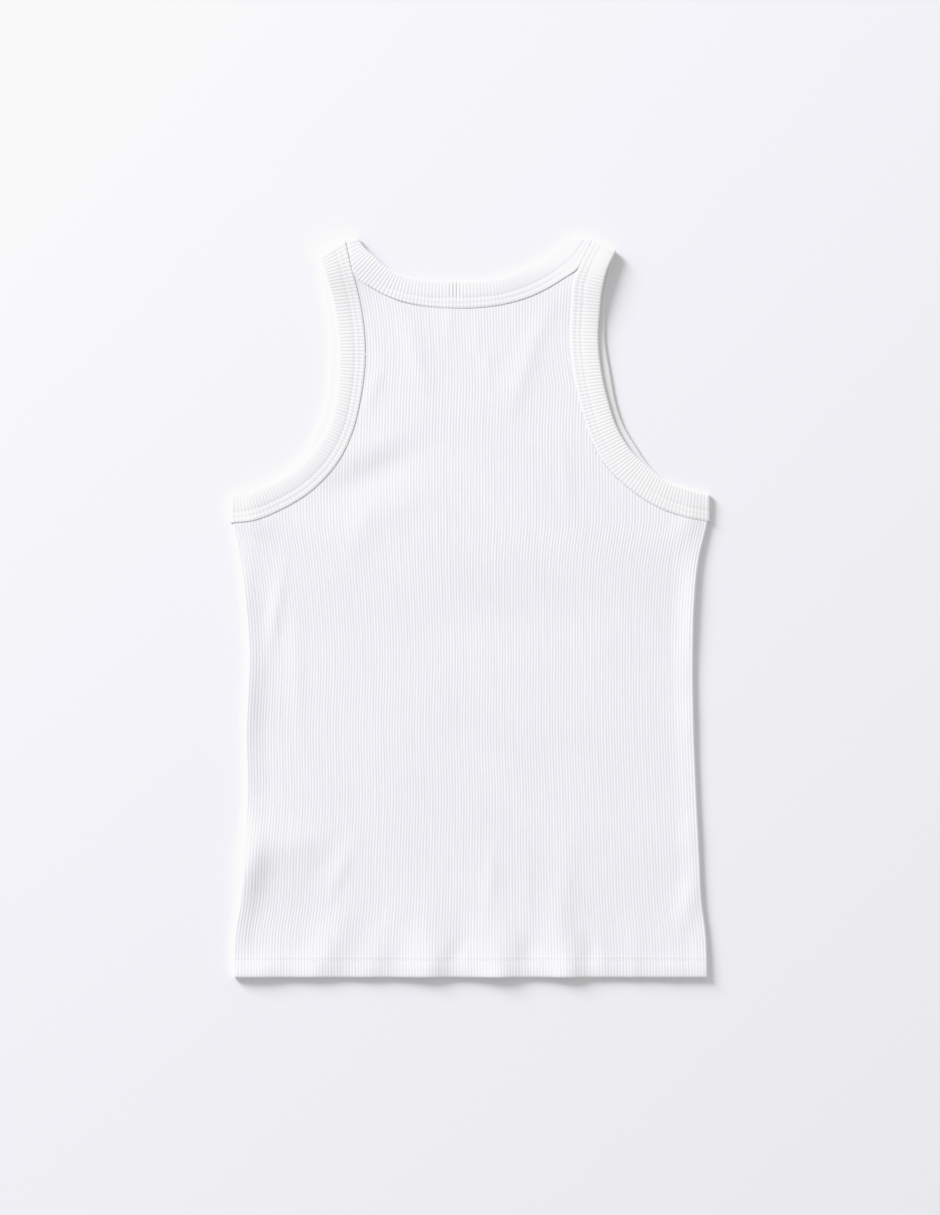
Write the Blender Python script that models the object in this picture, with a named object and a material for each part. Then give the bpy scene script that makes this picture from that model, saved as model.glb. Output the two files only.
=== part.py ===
"""A rib-knit tank top, laid flat with its back uppermost.

Frame: the origin is under the middle of the garment's box, +X to the right of the garment as it
lies, +Y from the hem to the neck, +Z up, metres. The sizes below are in millimetres, and a height
is a distance from the hem along +Y. The front lies face down on the ground and wraps round both
side folds to the side seams. The back lies on it, and three folded bindings are sewn round the
neck and the armholes.
"""

import math
from bisect import bisect_right
from collections import namedtuple

import bmesh
import bpy

MM = 0.001

# Driving sizes, mm
LENGTH = 645.9            # hem to the top of the shoulder folds
WALL = 1.2                # one layer of rib knit without its ribs
SEAM_GAP = 0.3            # between two pieces at a seam
BODY_RIBS = 154           # ribs across the back, from side seam to side seam
RIB_RELIEF = 0.3          # height of a rib over the furrows beside it
BINDING_THICKNESS = 2.2   # folded binding, two layers
BINDING_RIB_PITCH = 3.0
BINDING_RIB_RELIEF = 0.3
HEM_DEPTH = 14.5          # turned-up hem
HEM_RELIEF = 0.2          # its second layer, pressed
STITCH_WIDTH = 2.0        # furrow that the hem's stitches press into the cloth
STITCH_RELIEF = -0.1
STITCH_RIBS = 0.3         # share of the ribs' relief left in it

# Heights of the upper layer's underside over the ground
BODY_REST = WALL + SEAM_GAP                 # lower body, on the front
CHEST_REST = BINDING_THICKNESS + 0.4        # chest, over the front's bindings
FOLD_REST = 2.2                             # where the cloth turns round a side fold
CHEST_FROM, CHEST_TO = 300.0, 385.0         # heights between which the back rises to the chest
FOLD_SLOPE = 20.0                           # width of the rise towards a side fold
SHOULDER_REACH = 0.5                        # of a shoulder fold's inside past the stations

# Outline of the sides
Side = namedtuple("Side", "height left right")
SIDES = (
    Side(0, -207.1, 207.9),
    Side(35, -206.7, 206.8),
    Side(67, -201.8, 202.9),
    Side(107, -199.7, 200.9),
    Side(154, -196.3, 198.6),
    Side(213, -196.8, 196.3),
    Side(284, -194.5, 195.5),
    Side(329, -197.6, 196.9),
    Side(364, -202.0, 200.4),
    Side(396, -208.0, 207.9),
)
LEFT_SEAM_INSET = 11.5    # from the left outline to the left side seam, on top
RIGHT_SEAM_INSET = 3.4

# Bindings, by stations across them: the seam with the body, the outer rim, and how far the front
# stretch underneath shows past the back one. The first and last stations lie on folds.
Station = namedtuple("Station", "seam_x seam_h rim_x rim_h peek")
LEFT_ARMHOLE = (
    Station(-108.5, 641.7, -131.6, 626.0, 0.0),
    Station(-103.4, 618.5, -126.5, 612.4, 5.0),
    Station(-98.6, 601.1, -122.1, 597.6, 6.5),
    Station(-92.5, 566.2, -116.2, 564.4, 7.0),
    Station(-91.3, 542.6, -115.0, 542.6, 8.3),
    Station(-95.1, 506.9, -116.4, 511.3, 8.7),
    Station(-103.0, 474.6, -123.0, 482.5, 8.7),
    Station(-116.5, 447.6, -137.0, 459.0, 6.0),
    Station(-138.7, 424.1, -154.4, 441.9, 3.5),
    Station(-164.8, 407.9, -174.9, 430.2, 1.0),
    Station(-188.4, 398.5, -193.6, 423.2, 0.0),
    Station(-207.7, 396.2, -207.7, 420.1, 0.0),
)
RIGHT_ARMHOLE = (
    Station(107.0, 641.8, 126.6, 631.6, 0.0),
    Station(95.9, 620.3, 119.0, 614.6, 3.5),
    Station(90.6, 607.2, 115.9, 601.6, 4.0),
    Station(88.9, 586.2, 113.8, 584.5, 4.7),
    Station(87.8, 555.7, 112.2, 554.9, 6.0),
    Station(91.3, 524.0, 115.3, 526.1, 7.4),
    Station(97.6, 494.7, 121.2, 500.8, 6.2),
    Station(106.1, 468.5, 128.6, 479.0, 6.0),
    Station(119.4, 445.0, 141.1, 458.9, 5.5),
    Station(139.5, 425.8, 154.3, 446.3, 2.0),
    Station(164.5, 409.6, 172.6, 432.6, 0.0),
    Station(189.2, 400.9, 191.8, 425.5, 0.0),
    Station(207.7, 397.4, 207.7, 421.2, 0.0),
)
BACK_NECK = (
    Station(-107.9, 641.8, -97.3, 643.5, 0.0),
    Station(-104.9, 624.6, -90.7, 635.1, 0.0),
    Station(-100.3, 610.8, -83.8, 629.0, 0.0),
    Station(-87.9, 602.4, -73.3, 619.8, 0.0),
    Station(-61.1, 589.7, -55.9, 611.8, 0.0),
    Station(-41.0, 585.4, -39.3, 608.5, 0.0),
    Station(-15.7, 583.5, -15.7, 607.6, 0.0),
    Station(8.7, 584.1, 7.8, 608.1, 0.0),
    Station(28.7, 586.9, 24.4, 609.8, 0.0),
    Station(47.0, 591.7, 38.3, 615.0, 0.0),
    Station(78.4, 607.3, 64.9, 627.4, 0.0),
    Station(96.0, 621.6, 81.5, 641.2, 0.0),
    Station(106.3, 641.8, 89.5, 643.7, 0.0),
)
# The front neck, the same on both sides of the middle
NECK_MIDDLE = -4.8
HalfNeck = namedtuple("HalfNeck", "seam_out seam_h rim_out rim_h")
FRONT_NECK = (
    HalfNeck(0.0, 514.5, 0.0, 539.0),
    HalfNeck(28.5, 519.0, 21.7, 542.5),
    HalfNeck(57.2, 533.0, 43.7, 553.5),
    HalfNeck(78.2, 556.0, 58.7, 570.0),
    HalfNeck(90.2, 582.0, 68.7, 592.5),
    HalfNeck(96.7, 605.0, 75.7, 614.0),
)

# Section of a binding: how far across it, how thick there, its share of the rib relief, and
# whether every rib gets a point there. The last two rows are its inside.
Rail = namedtuple("Rail", "across thickness ribbed fine")
BINDING_SECTION = (
    Rail(0.00, 1.6, 0.0, False),
    Rail(0.34, 1.4, 0.5, True),
    Rail(0.72, 2.2, 1.0, True),
    Rail(1.00, 1.2, 0.6, True),
    Rail(1.00, 0.0, 0.0, False),
    Rail(0.00, 0.0, 0.0, False),
)
COARSE_EVERY = 4          # fine sections for each coarse one on the back stretch
FOLD_STEPS = 6            # round a fold
FRONT_STRETCH_STEP = 9.0  # between sections of the front stretch

# On the straps the ribs lean with the armholes' seams: from the strap's foot up, the body's two
# cut edges run along these of its rib columns, two for each rib, counted from the left
STRAP_FOOT = 515.0
LEFT_STRAP_COLUMN, RIGHT_STRAP_COLUMN = 78, 221
STRAP_JUMP = 20.0         # least height by which they stand over the columns beside them
STRAP_MARGIN = 10.0       # how far below the foot an edge still counts as the strap's
# Between the underarm and the strap's foot, where the outermost ribs' lines would run
Lines = namedtuple("Lines", "height left right")
CHEST_LINES = (Lines(430, -197.5, 205.0), Lines(475, -195.5, 203.5))

# Soft ridges of the main folds: the highest point, the way from it along the fold to where a third
# of it is left, the half-width to where a third is left, and the height
Ridge = namedtuple("Ridge", "name x h reach_x reach_h width height")
RIDGES = (
    Ridge("left shoulder", -122, 618, 0, 28, 30, 2.6),
    Ridge("right shoulder", 108, 616, 0, 32, 38, 3.4),
    Ridge("chest crease", -84, 438, 38, 17, 12, -1.0),
    Ridge("over it", -86, 462, 30, 13, 11, 0.4),
    Ridge("under it", -76, 405, 38, 17, 10, 0.4),
    Ridge("its bend downwards", -96, 390, 8, 22, 11, 0.3),
    Ridge("below the right shoulder", 57, 556, 12, 28, 8, 0.4),
    Ridge("below the left shoulder", -47, 542, 9, -28, 8, 0.6),
    Ridge("left side, under the arm", -170, 318, 7, 39, 6, 0.5),
    Ridge("left side, waist", -195, 240, 1, 45, 10, 0.9),
    Ridge("left side, near the hem", -191, 98, 6, 32, 14, 2.4),
    Ridge("inside of it", -158, 116, 26, 4, 15, 0.6),
    Ridge("swell of the lower left corner", -138, 95, 45, 0, 45, 0.35),
    Ridge("hollow beside it", -130, 96, 12, 19, 8, -0.25),
    Ridge("the hem's own thickness", 0, 0, 500, 0, 40, 1.0),
    Ridge("left end of the hem", -181, 0, 26, 0, 15, 1.3),
    Ridge("first slanting flute", -135, 0, 26, 55, 15, 1.2),
    Ridge("second slanting flute", -88, 0, 20, 48, 13, 0.8),
    Ridge("first flute", -50, 0, 13, 50, 16, 1.1),
    Ridge("second flute", 20, 0, 2, 60, 17, 0.8),
    Ridge("third flute", 80, 0, -2, 60, 13, 1.0),
    Ridge("flare of the first flute", -34, 0, 3, 24, 13, 1.8),
    Ridge("flare of the second flute", 26, 0, 0, 22, 14, 2.2),
    Ridge("left of it", 8, 0, 0, 30, 17, 1.2),
    Ridge("flare of the third flute", 88, 0, 0, 20, 13, 1.7),
    Ridge("right end of the hem", 180, 0, 26, 0, 16, 1.0),
    Ridge("right side, near the hem", 190, 66, 5, 20, 9, 0.9),
    Ridge("right side, under the arm", 195, 325, 1, 50, 10, 1.2),
)

# Heights at which the cloth has points, and the closer ones over the chest crease
BODY_ROWS = (0, HEM_DEPTH, HEM_DEPTH + STITCH_WIDTH, 45, 90, 160, 260, 330, 375, 405, 452, 500,
             540, 580)
CREASE_ROWS = (385, 395, 413, 422, 432, 442, 462, 472)
CREASE_FROM, CREASE_TO = -130.0, -24.0
STRAP_ROWS = (STRAP_FOOT, 525, 555, 568, 590, 598, 606)
STRAP_EDGE_COLUMNS = 3    # beside a strap's cut edge, that need them
INNER_COLUMNS = 8         # ribbed columns for each column of the plain inside
LONGEST_EDGE = 8.0        # along the inside's curved edge
SHORTEST_STEP = 3.0       # between a column's last row and its end
EDGE_STEP = 1.2           # for reading a seam's curve
FLOOR_EDGE_STEPS = 5      # of them for each edge of the front's cut edge
UNDERARM_FROM = 150.0     # least distance from the middle of the armhole's part over a side fold
WRAP_OUTER_TURNS, WRAP_INNER_TURNS = 6, 4   # edges round a side fold
NARROWEST_TIP = 2.0       # of a body panel between its neck and its armhole
TIP_STEP = 0.5            # for finding it
TINY = 1e-5

CLOTH_WHITE = (0.855, 0.85, 0.885, 1.0)
BINDING_WHITE = (0.885, 0.88, 0.89, 1.0)
CLOTH_ROUGHNESS = 0.9
SHARP_ANGLE = math.radians(35)


# ---------------------------------------------------------------- curves

def through(knots, values, t):
    """The smooth value at t of a cubic through tuples of values at rising knots."""
    last = len(knots) - 2
    i = min(max(bisect_right(knots, t) - 1, 0), last)
    step = knots[i + 1] - knots[i]
    s = min(max((t - knots[i]) / step, 0.0), 1.0)

    def slope(j, k):
        if 0 < j <= last:
            before, after = knots[j] - knots[j - 1], knots[j + 1] - knots[j]
            rise = (values[j][k] - values[j - 1][k]) / before * after
            return (rise + (values[j + 1][k] - values[j][k]) / after * before) / (before + after)
        j = min(j, last)
        return (values[j + 1][k] - values[j][k]) / (knots[j + 1] - knots[j])

    result = []
    for k, start in enumerate(values[i]):
        rise = values[i + 1][k] - start
        a, b = slope(i, k) * step, slope(i + 1, k) * step
        result.append(start + s * (a + s * (3 * rise - 2 * a - b + s * (a + b - 2 * rise))))
    return tuple(result)


def from_table(rows, height):
    """The other columns, at a height, of a table whose first column is a height."""
    return through([row[0] for row in rows], [row[1:] for row in rows], height)


def interpolate(pairs, t):
    """The second number at t, between pairs that are sorted by their first number."""
    i = min(max(bisect_right(pairs, (t, math.inf)) - 1, 0), len(pairs) - 2)
    (t0, v0), (t1, v1) = pairs[i], pairs[i + 1]
    return v0 if t1 == t0 else v0 + (v1 - v0) * min(max((t - t0) / (t1 - t0), 0.0), 1.0)


def ease(t):
    """From 0 to 1 with level ends."""
    t = min(max(t, 0.0), 1.0)
    return t * t * (3 - 2 * t)


def between(ends, share):
    return ends[0] + (ends[1] - ends[0]) * share


# ---------------------------------------------------------------- seams

def stations_at(stations, spacing):
    """Stations at an even spacing, with an even number of steps, on the curve through some."""
    knots = [0.0]
    for a, b in zip(stations, stations[1:]):
        middle_a = ((a.seam_x + a.rim_x) / 2, (a.seam_h + a.rim_h) / 2)
        middle_b = ((b.seam_x + b.rim_x) / 2, (b.seam_h + b.rim_h) / 2)
        knots.append(knots[-1] + math.dist(middle_a, middle_b))
    steps = 2 * max(1, round(knots[-1] / spacing / 2))
    return [Station(*through(knots, stations, knots[-1] * i / steps)) for i in range(steps + 1)]


def shifted(stations):
    """The front stretch under a back one: each station moved outwards by its peek."""
    result = []
    for s in stations:
        share = s.peek / math.dist((s.rim_x, s.rim_h), (s.seam_x, s.seam_h))
        dx, dh = (s.rim_x - s.seam_x) * share, (s.rim_h - s.seam_h) * share
        result.append(Station(s.seam_x + dx, s.seam_h + dh, s.rim_x + dx, s.rim_h + dh, s.peek))
    return result


def front_neck():
    """The front neck's stations, from the left shoulder to the right one."""
    right = [Station(NECK_MIDDLE + row.seam_out, row.seam_h,
                     NECK_MIDDLE + row.rim_out, row.rim_h, 0.0) for row in FRONT_NECK]
    left = [s._replace(seam_x=2 * NECK_MIDDLE - s.seam_x,
                       rim_x=2 * NECK_MIDDLE - s.rim_x) for s in right[:0:-1]]
    return [BACK_NECK[0]] + left + right + [BACK_NECK[-1]]


def body_edge(stations):
    """The body's edge along a binding, as (x, height): the seam, moved into the body."""
    edge = []
    for s in stations_at(stations, EDGE_STEP):
        share = SEAM_GAP / math.dist((s.rim_x, s.rim_h), (s.seam_x, s.seam_h))
        edge.append((s.seam_x + (s.seam_x - s.rim_x) * share,
                     s.seam_h + (s.seam_h - s.rim_h) * share))
    return edge


def by_height(edge):
    """An edge's part on the strap, as (height, x) sorted by height."""
    return sorted((h, x) for x, h in edge if h > STRAP_FOOT - STRAP_MARGIN)


LEFT_EDGE = body_edge(LEFT_ARMHOLE)
RIGHT_EDGE = body_edge(RIGHT_ARMHOLE)
LEFT_STRAP_EDGE = by_height(LEFT_EDGE)
RIGHT_STRAP_EDGE = by_height(RIGHT_EDGE)


def strap_tip(armhole_edge, neck_edge):
    """Where a strap of the body gets its least width: its two corners there, and their height."""
    height = armhole_edge[-1][0]
    while True:
        x_armhole, x_neck = interpolate(armhole_edge, height), interpolate(neck_edge, height)
        if abs(x_armhole) - abs(x_neck) > NARROWEST_TIP:
            return [(x_armhole, height), (x_neck, height)], height
        height -= TIP_STEP


def top_edge(left_armhole, neck, right_armhole, every=1):
    """A body panel's edge, from the left underarm over both straps to the right one."""
    neck_edge = body_edge(neck)
    halves = []
    for sign, stations in ((-1, left_armhole), (1, right_armhole)):
        armhole_edge = body_edge(stations)
        half = [p for p in neck_edge if sign * (p[0] - NECK_MIDDLE) > 0]
        corners, tip = strap_tip(by_height(armhole_edge), sorted((h, x) for x, h in half))
        side = [p for p in armhole_edge[::-1] if p[1] < tip - EDGE_STEP][::every]
        half = sorted((p for p in half if p[1] < tip - EDGE_STEP), key=lambda p: -abs(p[0]))
        halves.append(side + corners + half[::every])
    return halves[0] + halves[1][::-1]


def beside_armholes(stations, left_edge, right_edge):
    """Neck stations, moved where they would reach under the armhole bindings on the straps."""
    kept = []
    for s in stations:
        if s.seam_h > STRAP_FOOT:
            low, high = interpolate(left_edge, s.seam_h), interpolate(right_edge, s.seam_h)
            s = s._replace(seam_x=min(max(s.seam_x, low), high))
        kept.append(s)
    return kept


# ---------------------------------------------------------------- how the cloth lies

def side_edges(height):
    return from_table(SIDES, min(height, SIDES[-1].height))


def side_seams(height):
    left, right = side_edges(height)
    return left + LEFT_SEAM_INSET, right - RIGHT_SEAM_INSET


def strap_lines(height):
    left = interpolate(LEFT_STRAP_EDGE, height)
    column = (interpolate(RIGHT_STRAP_EDGE, height) - left) / (RIGHT_STRAP_COLUMN - LEFT_STRAP_COLUMN)
    return left - LEFT_STRAP_COLUMN * column, left + (2 * BODY_RIBS - LEFT_STRAP_COLUMN) * column


def rib_lines(height):
    """The outermost ribs of the back: its side seams, and their lines above the underarm."""
    top_side = SIDES[-1].height
    if height <= top_side:
        return side_seams(height)
    if height >= STRAP_FOOT:
        return strap_lines(height)
    rows = (Lines(top_side, *side_seams(top_side)),) + CHEST_LINES
    return from_table(rows + (Lines(STRAP_FOOT, *strap_lines(STRAP_FOOT)),), height)


def raised(ridge, x, height):
    """How much a ridge adds at a place."""
    reach = math.hypot(ridge.reach_x, ridge.reach_h)
    dx, dh = x - ridge.x, height - ridge.h
    along = (dx * ridge.reach_x + dh * ridge.reach_h) / reach ** 2
    across = (dx * ridge.reach_h - dh * ridge.reach_x) / (reach * ridge.width)
    return ridge.height * math.exp(-along ** 2 - across ** 2)


def rest_height(x, height):
    """Height over the ground of the upper layer's underside."""
    level = between((BODY_REST, CHEST_REST), ease((height - CHEST_FROM) / (CHEST_TO - CHEST_FROM)))
    left, right = side_edges(height)
    near_fold = ease(1 - (min(x - left, right - x) - WALL) / FOLD_SLOPE)
    level = between((level, FOLD_REST), near_fold)
    return level + sum(raised(ridge, x, height) for ridge in RIDGES)


def outside(height):
    """What the hem and its stitches add to the outside, and the share of the ribs there."""
    if height <= HEM_DEPTH:
        return HEM_RELIEF, 1.0
    if height <= HEM_DEPTH + STITCH_WIDTH:
        return STITCH_RELIEF, STITCH_RIBS
    return 0.0, 1.0


def rows_up_to(top, column):
    """The heights of a column's points, from the hem to its end."""
    rows = BODY_ROWS
    if CREASE_FROM < between(rib_lines(CREASE_ROWS[0]), column / (2 * BODY_RIBS)) < CREASE_TO:
        rows += CREASE_ROWS
    inside = min(column - LEFT_STRAP_COLUMN, RIGHT_STRAP_COLUMN - column)
    if 0 <= inside < STRAP_EDGE_COLUMNS:
        rows += STRAP_ROWS
    return sorted({h for h in rows if h < top - SHORTEST_STEP}) + [top]


# ---------------------------------------------------------------- meshes

class Cloth:
    """Points and faces of one closed piece, laced together from rails of points."""

    def __init__(self):
        self.points = []
        self.faces = []

    def rail(self, places, points, closed=False):
        """A line of points, each with its place along the line."""
        first = len(self.points)
        self.points += points
        line = list(zip(places, range(first, first + len(points))))
        return line + [(places[0] + 1.0, first)] if closed else line

    def lace(self, a, b):
        """Fills the strip between two rails, which may have unlike numbers of points."""
        i = j = 0
        while i < len(a) - 1 or j < len(b) - 1:
            next_a = a[i + 1][0] if i < len(a) - 1 else math.inf
            next_b = b[j + 1][0] if j < len(b) - 1 else math.inf
            corners = [a[i][1], b[j][1]]
            if next_b <= next_a:
                j += 1
                corners.append(b[j][1])
            if next_a <= next_b:
                i += 1
                corners.append(a[i][1])
            self.faces.append(corners)

    def lace_all(self, rails):
        for a, b in zip(rails, rails[1:]):
            self.lace(a, b)

    def lace_ends(self, outer, inner):
        """Closes the first and the last ends of two layers of (place, rail) columns."""
        for end in (0, -1):
            self.lace([(place, rail[end][1]) for place, rail in outer],
                      [(place, rail[end][1]) for place, rail in inner])

    def finish(self, name, material, collection):
        middle = LENGTH / 2
        mesh = bpy.data.meshes.new(name)
        mesh.from_pydata([(x * MM, (h - middle) * MM, z * MM) for x, h, z in self.points], [],
                         self.faces)
        shaped = bmesh.new()
        shaped.from_mesh(mesh)
        bmesh.ops.recalc_face_normals(shaped, faces=shaped.faces[:])
        shaped.to_mesh(mesh)
        shaped.free()
        mesh.materials.append(material)
        mesh.shade_smooth()
        mesh.set_sharp_from_angle(angle=SHARP_ANGLE)
        collection.objects.link(bpy.data.objects.new(name, mesh))


def fabric(name, colour):
    material = bpy.data.materials.new(name)
    material.use_nodes = True
    shader = material.node_tree.nodes["Principled BSDF"]
    shader.inputs["Base Color"].default_value = colour
    shader.inputs["Roughness"].default_value = CLOTH_ROUGHNESS
    shader.inputs["Metallic"].default_value = 0.0
    material.diffuse_color = colour
    return material


# ---------------------------------------------------------------- back

def column_ends(edge):
    """The height at which each of the back's columns ends on its top edge."""
    columns = 2 * BODY_RIBS
    pairs = []
    for x, height in edge:
        left, right = rib_lines(height)
        place = (x - left) / (right - left)
        if not pairs or place > pairs[-1][0] + TINY:
            pairs.append((place, height))
        elif height > pairs[-1][1]:
            pairs[-1] = (pairs[-1][0], height)
    ends = [interpolate(pairs, column / columns) for column in range(columns + 1)]
    ends[LEFT_STRAP_COLUMN] = max(h for x, h in edge if x < NECK_MIDDLE)
    ends[RIGHT_STRAP_COLUMN] = max(h for x, h in edge if x > NECK_MIDDLE)
    return ends


def cut_to(rail, top):
    """A column beside one that ends at a height: itself, or its part up there on a strap."""
    if rail[-1][0] < top + STRAP_JUMP:
        return rail
    return [point for k, point in enumerate(rail) if k == 0 or rail[k - 1][0] < top]


def edge_chain(columns):
    """The top edge of a layer of columns: their ends, and the strap's edges between them."""
    chain = []
    for before, this, after in zip([None] + columns, columns, columns[1:] + [None]):
        column, rail = this
        ends = [rail[-1]]
        if column == LEFT_STRAP_COLUMN:
            ends = [point for point in rail if point[0] > before[1][-1][0]]
        if column == RIGHT_STRAP_COLUMN:
            ends = [point for point in rail if point[0] > after[1][-1][0]][::-1]
        chain += [(column + k / len(ends), index) for k, (_, index) in enumerate(ends)]
    return chain


def make_back(material, collection):
    """Ribbed outside and plain inside, from the hem to the seams of the bindings."""
    ends = column_ends(top_edge(LEFT_ARMHOLE, BACK_NECK, RIGHT_ARMHOLE))
    needed = (0, LEFT_STRAP_COLUMN - 1, LEFT_STRAP_COLUMN, RIGHT_STRAP_COLUMN,
              RIGHT_STRAP_COLUMN + 1, 2 * BODY_RIBS)
    cloth = Cloth()
    outer, inner = [], []
    last_column, last_tip = 0, None
    for column, top in enumerate(ends):
        rows = rows_up_to(top, column)
        under, over = [], []
        for height in rows:
            x = between(rib_lines(height), column / (2 * BODY_RIBS))
            z = rest_height(x, height)
            relief, ribbed = outside(height)
            under.append((x, height, z))
            over.append((x, height, z + WALL + relief + RIB_RELIEF * ribbed * (column % 2)))
        outer.append((column, cloth.rail(rows, over)))
        tip = under[-1][:2]
        due = column in needed or column - last_column >= INNER_COLUMNS
        if due or math.dist(tip, last_tip) > LONGEST_EDGE:
            inner.append((column, cloth.rail(rows, under)))
            last_column, last_tip = column, tip
    for layer in (outer, inner):
        for (_, a), (_, b) in zip(layer, layer[1:]):
            cloth.lace(cut_to(a, b[-1][0]), cut_to(b, a[-1][0]))
    cloth.lace(*[[(column, rail[0][1]) for column, rail in layer] for layer in (outer, inner)])
    cloth.lace(edge_chain(outer), edge_chain(inner))
    for side in (0, -1):
        cloth.lace(outer[side][1], inner[side][1])
    cloth.finish("back", material, collection)


# ---------------------------------------------------------------- front

def fold_section(side, height):
    """A side fold at a height: the outline, the inside's height, the round's middle and radius."""
    edge = side_edges(height)[side]
    inward = 1 if side == 0 else -1
    inside = rest_height(edge + inward * (FOLD_REST + WALL) / 2, height)
    radius = (inside + WALL) / 2
    return edge + inward * radius, inside, radius, -inward


def wrap_columns(side, edge_by_x):
    """The part of the front on top at one side, round the fold and down to the ground.

    Gives each column's place and, for a height, its points on the outside and the inside. Places
    run from 0 at the side seam over 1, where the fold's round starts, to 2 on the ground.
    """
    middle, _, radius, _ = fold_section(side, 0)
    seam = side_seams(0)[side]
    pitch = (side_seams(0)[1] - side_seams(0)[0]) / BODY_RIBS
    flat = max(1, round(2 * (abs(middle - seam) - SEAM_GAP) / pitch))
    outer_places = [k / flat for k in range(flat)]
    outer_places += [1 + k / WRAP_OUTER_TURNS for k in range(WRAP_OUTER_TURNS + 1)]
    inner_flat = max(1, flat // 3)
    inner_places = [k / inner_flat for k in range(inner_flat)]
    inner_places += [1 + k / WRAP_INNER_TURNS for k in range(WRAP_INNER_TURNS + 1)]

    def point(place, height, thickness):
        middle, inside, radius, outward = fold_section(side, height)
        seam_x = side_seams(height)[side] + outward * SEAM_GAP
        if place < 1:
            x = between((seam_x, middle), place)
            return x, height, rest_height(x, height) + thickness
        turn = (place - 1) * math.pi
        reach = radius - WALL + thickness
        z = max(radius + reach * math.cos(turn), 0.0)
        return middle + outward * reach * math.sin(turn), height, z

    def column(place, ridge, is_outer):
        top = interpolate(edge_by_x, abs(point(place, SIDES[-1].height, 0)[0]))
        heights = [h for h in BODY_ROWS if h < top - SHORTEST_STEP] + [top]
        points = []
        for height in heights:
            thickness = 0.0
            if is_outer:
                relief, ribbed = outside(height)
                on_top = (1 + math.cos(max(place - 1, 0) * math.pi)) / 2
                thickness = WALL + on_top * (relief + RIB_RELIEF * ribbed * ridge)
            points.append(point(place, height, thickness))
        return heights, points

    outer = [(p,) + column(p, k % 2, True) for k, p in enumerate(outer_places)]
    inner = [(p,) + column(p, 0, False) for p in inner_places]
    return outer, inner


def make_front(material, collection):
    """Flat on the ground, and round the side folds to the side seams on top."""
    cloth = Cloth()
    ground, inside = [], []
    for side, edge in ((0, LEFT_EDGE), (1, RIGHT_EDGE)):
        edge_by_x = sorted((abs(x), h) for x, h in edge if abs(x) > UNDERARM_FROM)
        layers = wrap_columns(side, edge_by_x)
        outer, inner = [[(place, cloth.rail(heights, points)) for place, heights, points in layer]
                        for layer in layers]
        cloth.lace_all([rail for _, rail in outer])
        cloth.lace_all([rail for _, rail in inner])
        cloth.lace_ends(outer, inner)
        cloth.lace(outer[0][1], inner[0][1])
        ground.append([point for _, point in outer[-1][1]])
        inside.append([point for _, point in inner[-1][1]])
    ends = [cloth.points[column[-1]][0] for column in ground]
    edge = top_edge(shifted(LEFT_ARMHOLE), front_neck(), shifted(RIGHT_ARMHOLE), FLOOR_EDGE_STEPS)
    path = [p for p in edge if ends[0] + WALL < p[0] < ends[1] - WALL]
    places = [k + 1 for k in range(len(path))]
    layers = []
    for columns, z in ((ground, 0.0), (inside, WALL)):
        rail = cloth.rail(places, [(x, h, z) for x, h in path])
        rail = [(0, columns[0][-1])] + rail + [(len(path) + 1, columns[1][-1])]
        cloth.faces.append(columns[0][:-1] + [point for _, point in rail] + columns[1][-2::-1])
        layers.append(rail)
    cloth.lace(*layers)
    cloth.faces.append([ground[0][0], ground[1][0], inside[1][0], inside[0][0]])
    cloth.finish("front", material, collection)


# ---------------------------------------------------------------- bindings

Section = namedtuple("Section", "seam rim normal flat ridge coarse")


def stretch(stations, level, normal, flat):
    """The sections of a stretch; level gives the inside's height at (x, height)."""
    last = len(stations) - 1
    sections = []
    for i, s in enumerate(stations):
        seam = (s.seam_x, s.seam_h, level(s.seam_x, s.seam_h))
        rim = (s.rim_x, s.rim_h, level(s.rim_x, s.rim_h))
        coarse = flat == 1 or i % COARSE_EVERY == 0 or i == last
        sections.append(Section(seam, rim, normal, flat, 0 if flat else i % 2, coarse))
    return sections


def fold(section, before, downward):
    """Sections round the fold at a stretch's end, from the upper layer down, or back up."""
    dx, dh = section.rim[0] - section.seam[0], section.rim[1] - section.seam[1]
    length = math.hypot(dx, dh)
    out = (-dh / length, dx / length)
    travel = [section.seam[k] - before.seam[k] for k in (0, 1)]
    if out[0] * travel[0] + out[1] * travel[1] < 0:
        out = (-out[0], -out[1])
    sections = []
    for step in range(1, FOLD_STEPS):
        turn = math.pi * step / FOLD_STEPS
        if not downward:
            turn = math.pi - turn
        sweep, rise = math.sin(turn), math.cos(turn)
        ends = []
        for x, h, z in (section.seam, section.rim):
            radius = (z - BINDING_THICKNESS) / 2
            reach = min(radius, SHOULDER_REACH) * sweep
            ends.append((x + out[0] * reach, h + out[1] * reach,
                         BINDING_THICKNESS + radius * (1 + rise)))
        normal = (out[0] * sweep, out[1] * sweep, rise)
        sections.append(Section(*ends, normal, (1 - rise) / 2, 0, True))
    return sections


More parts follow.
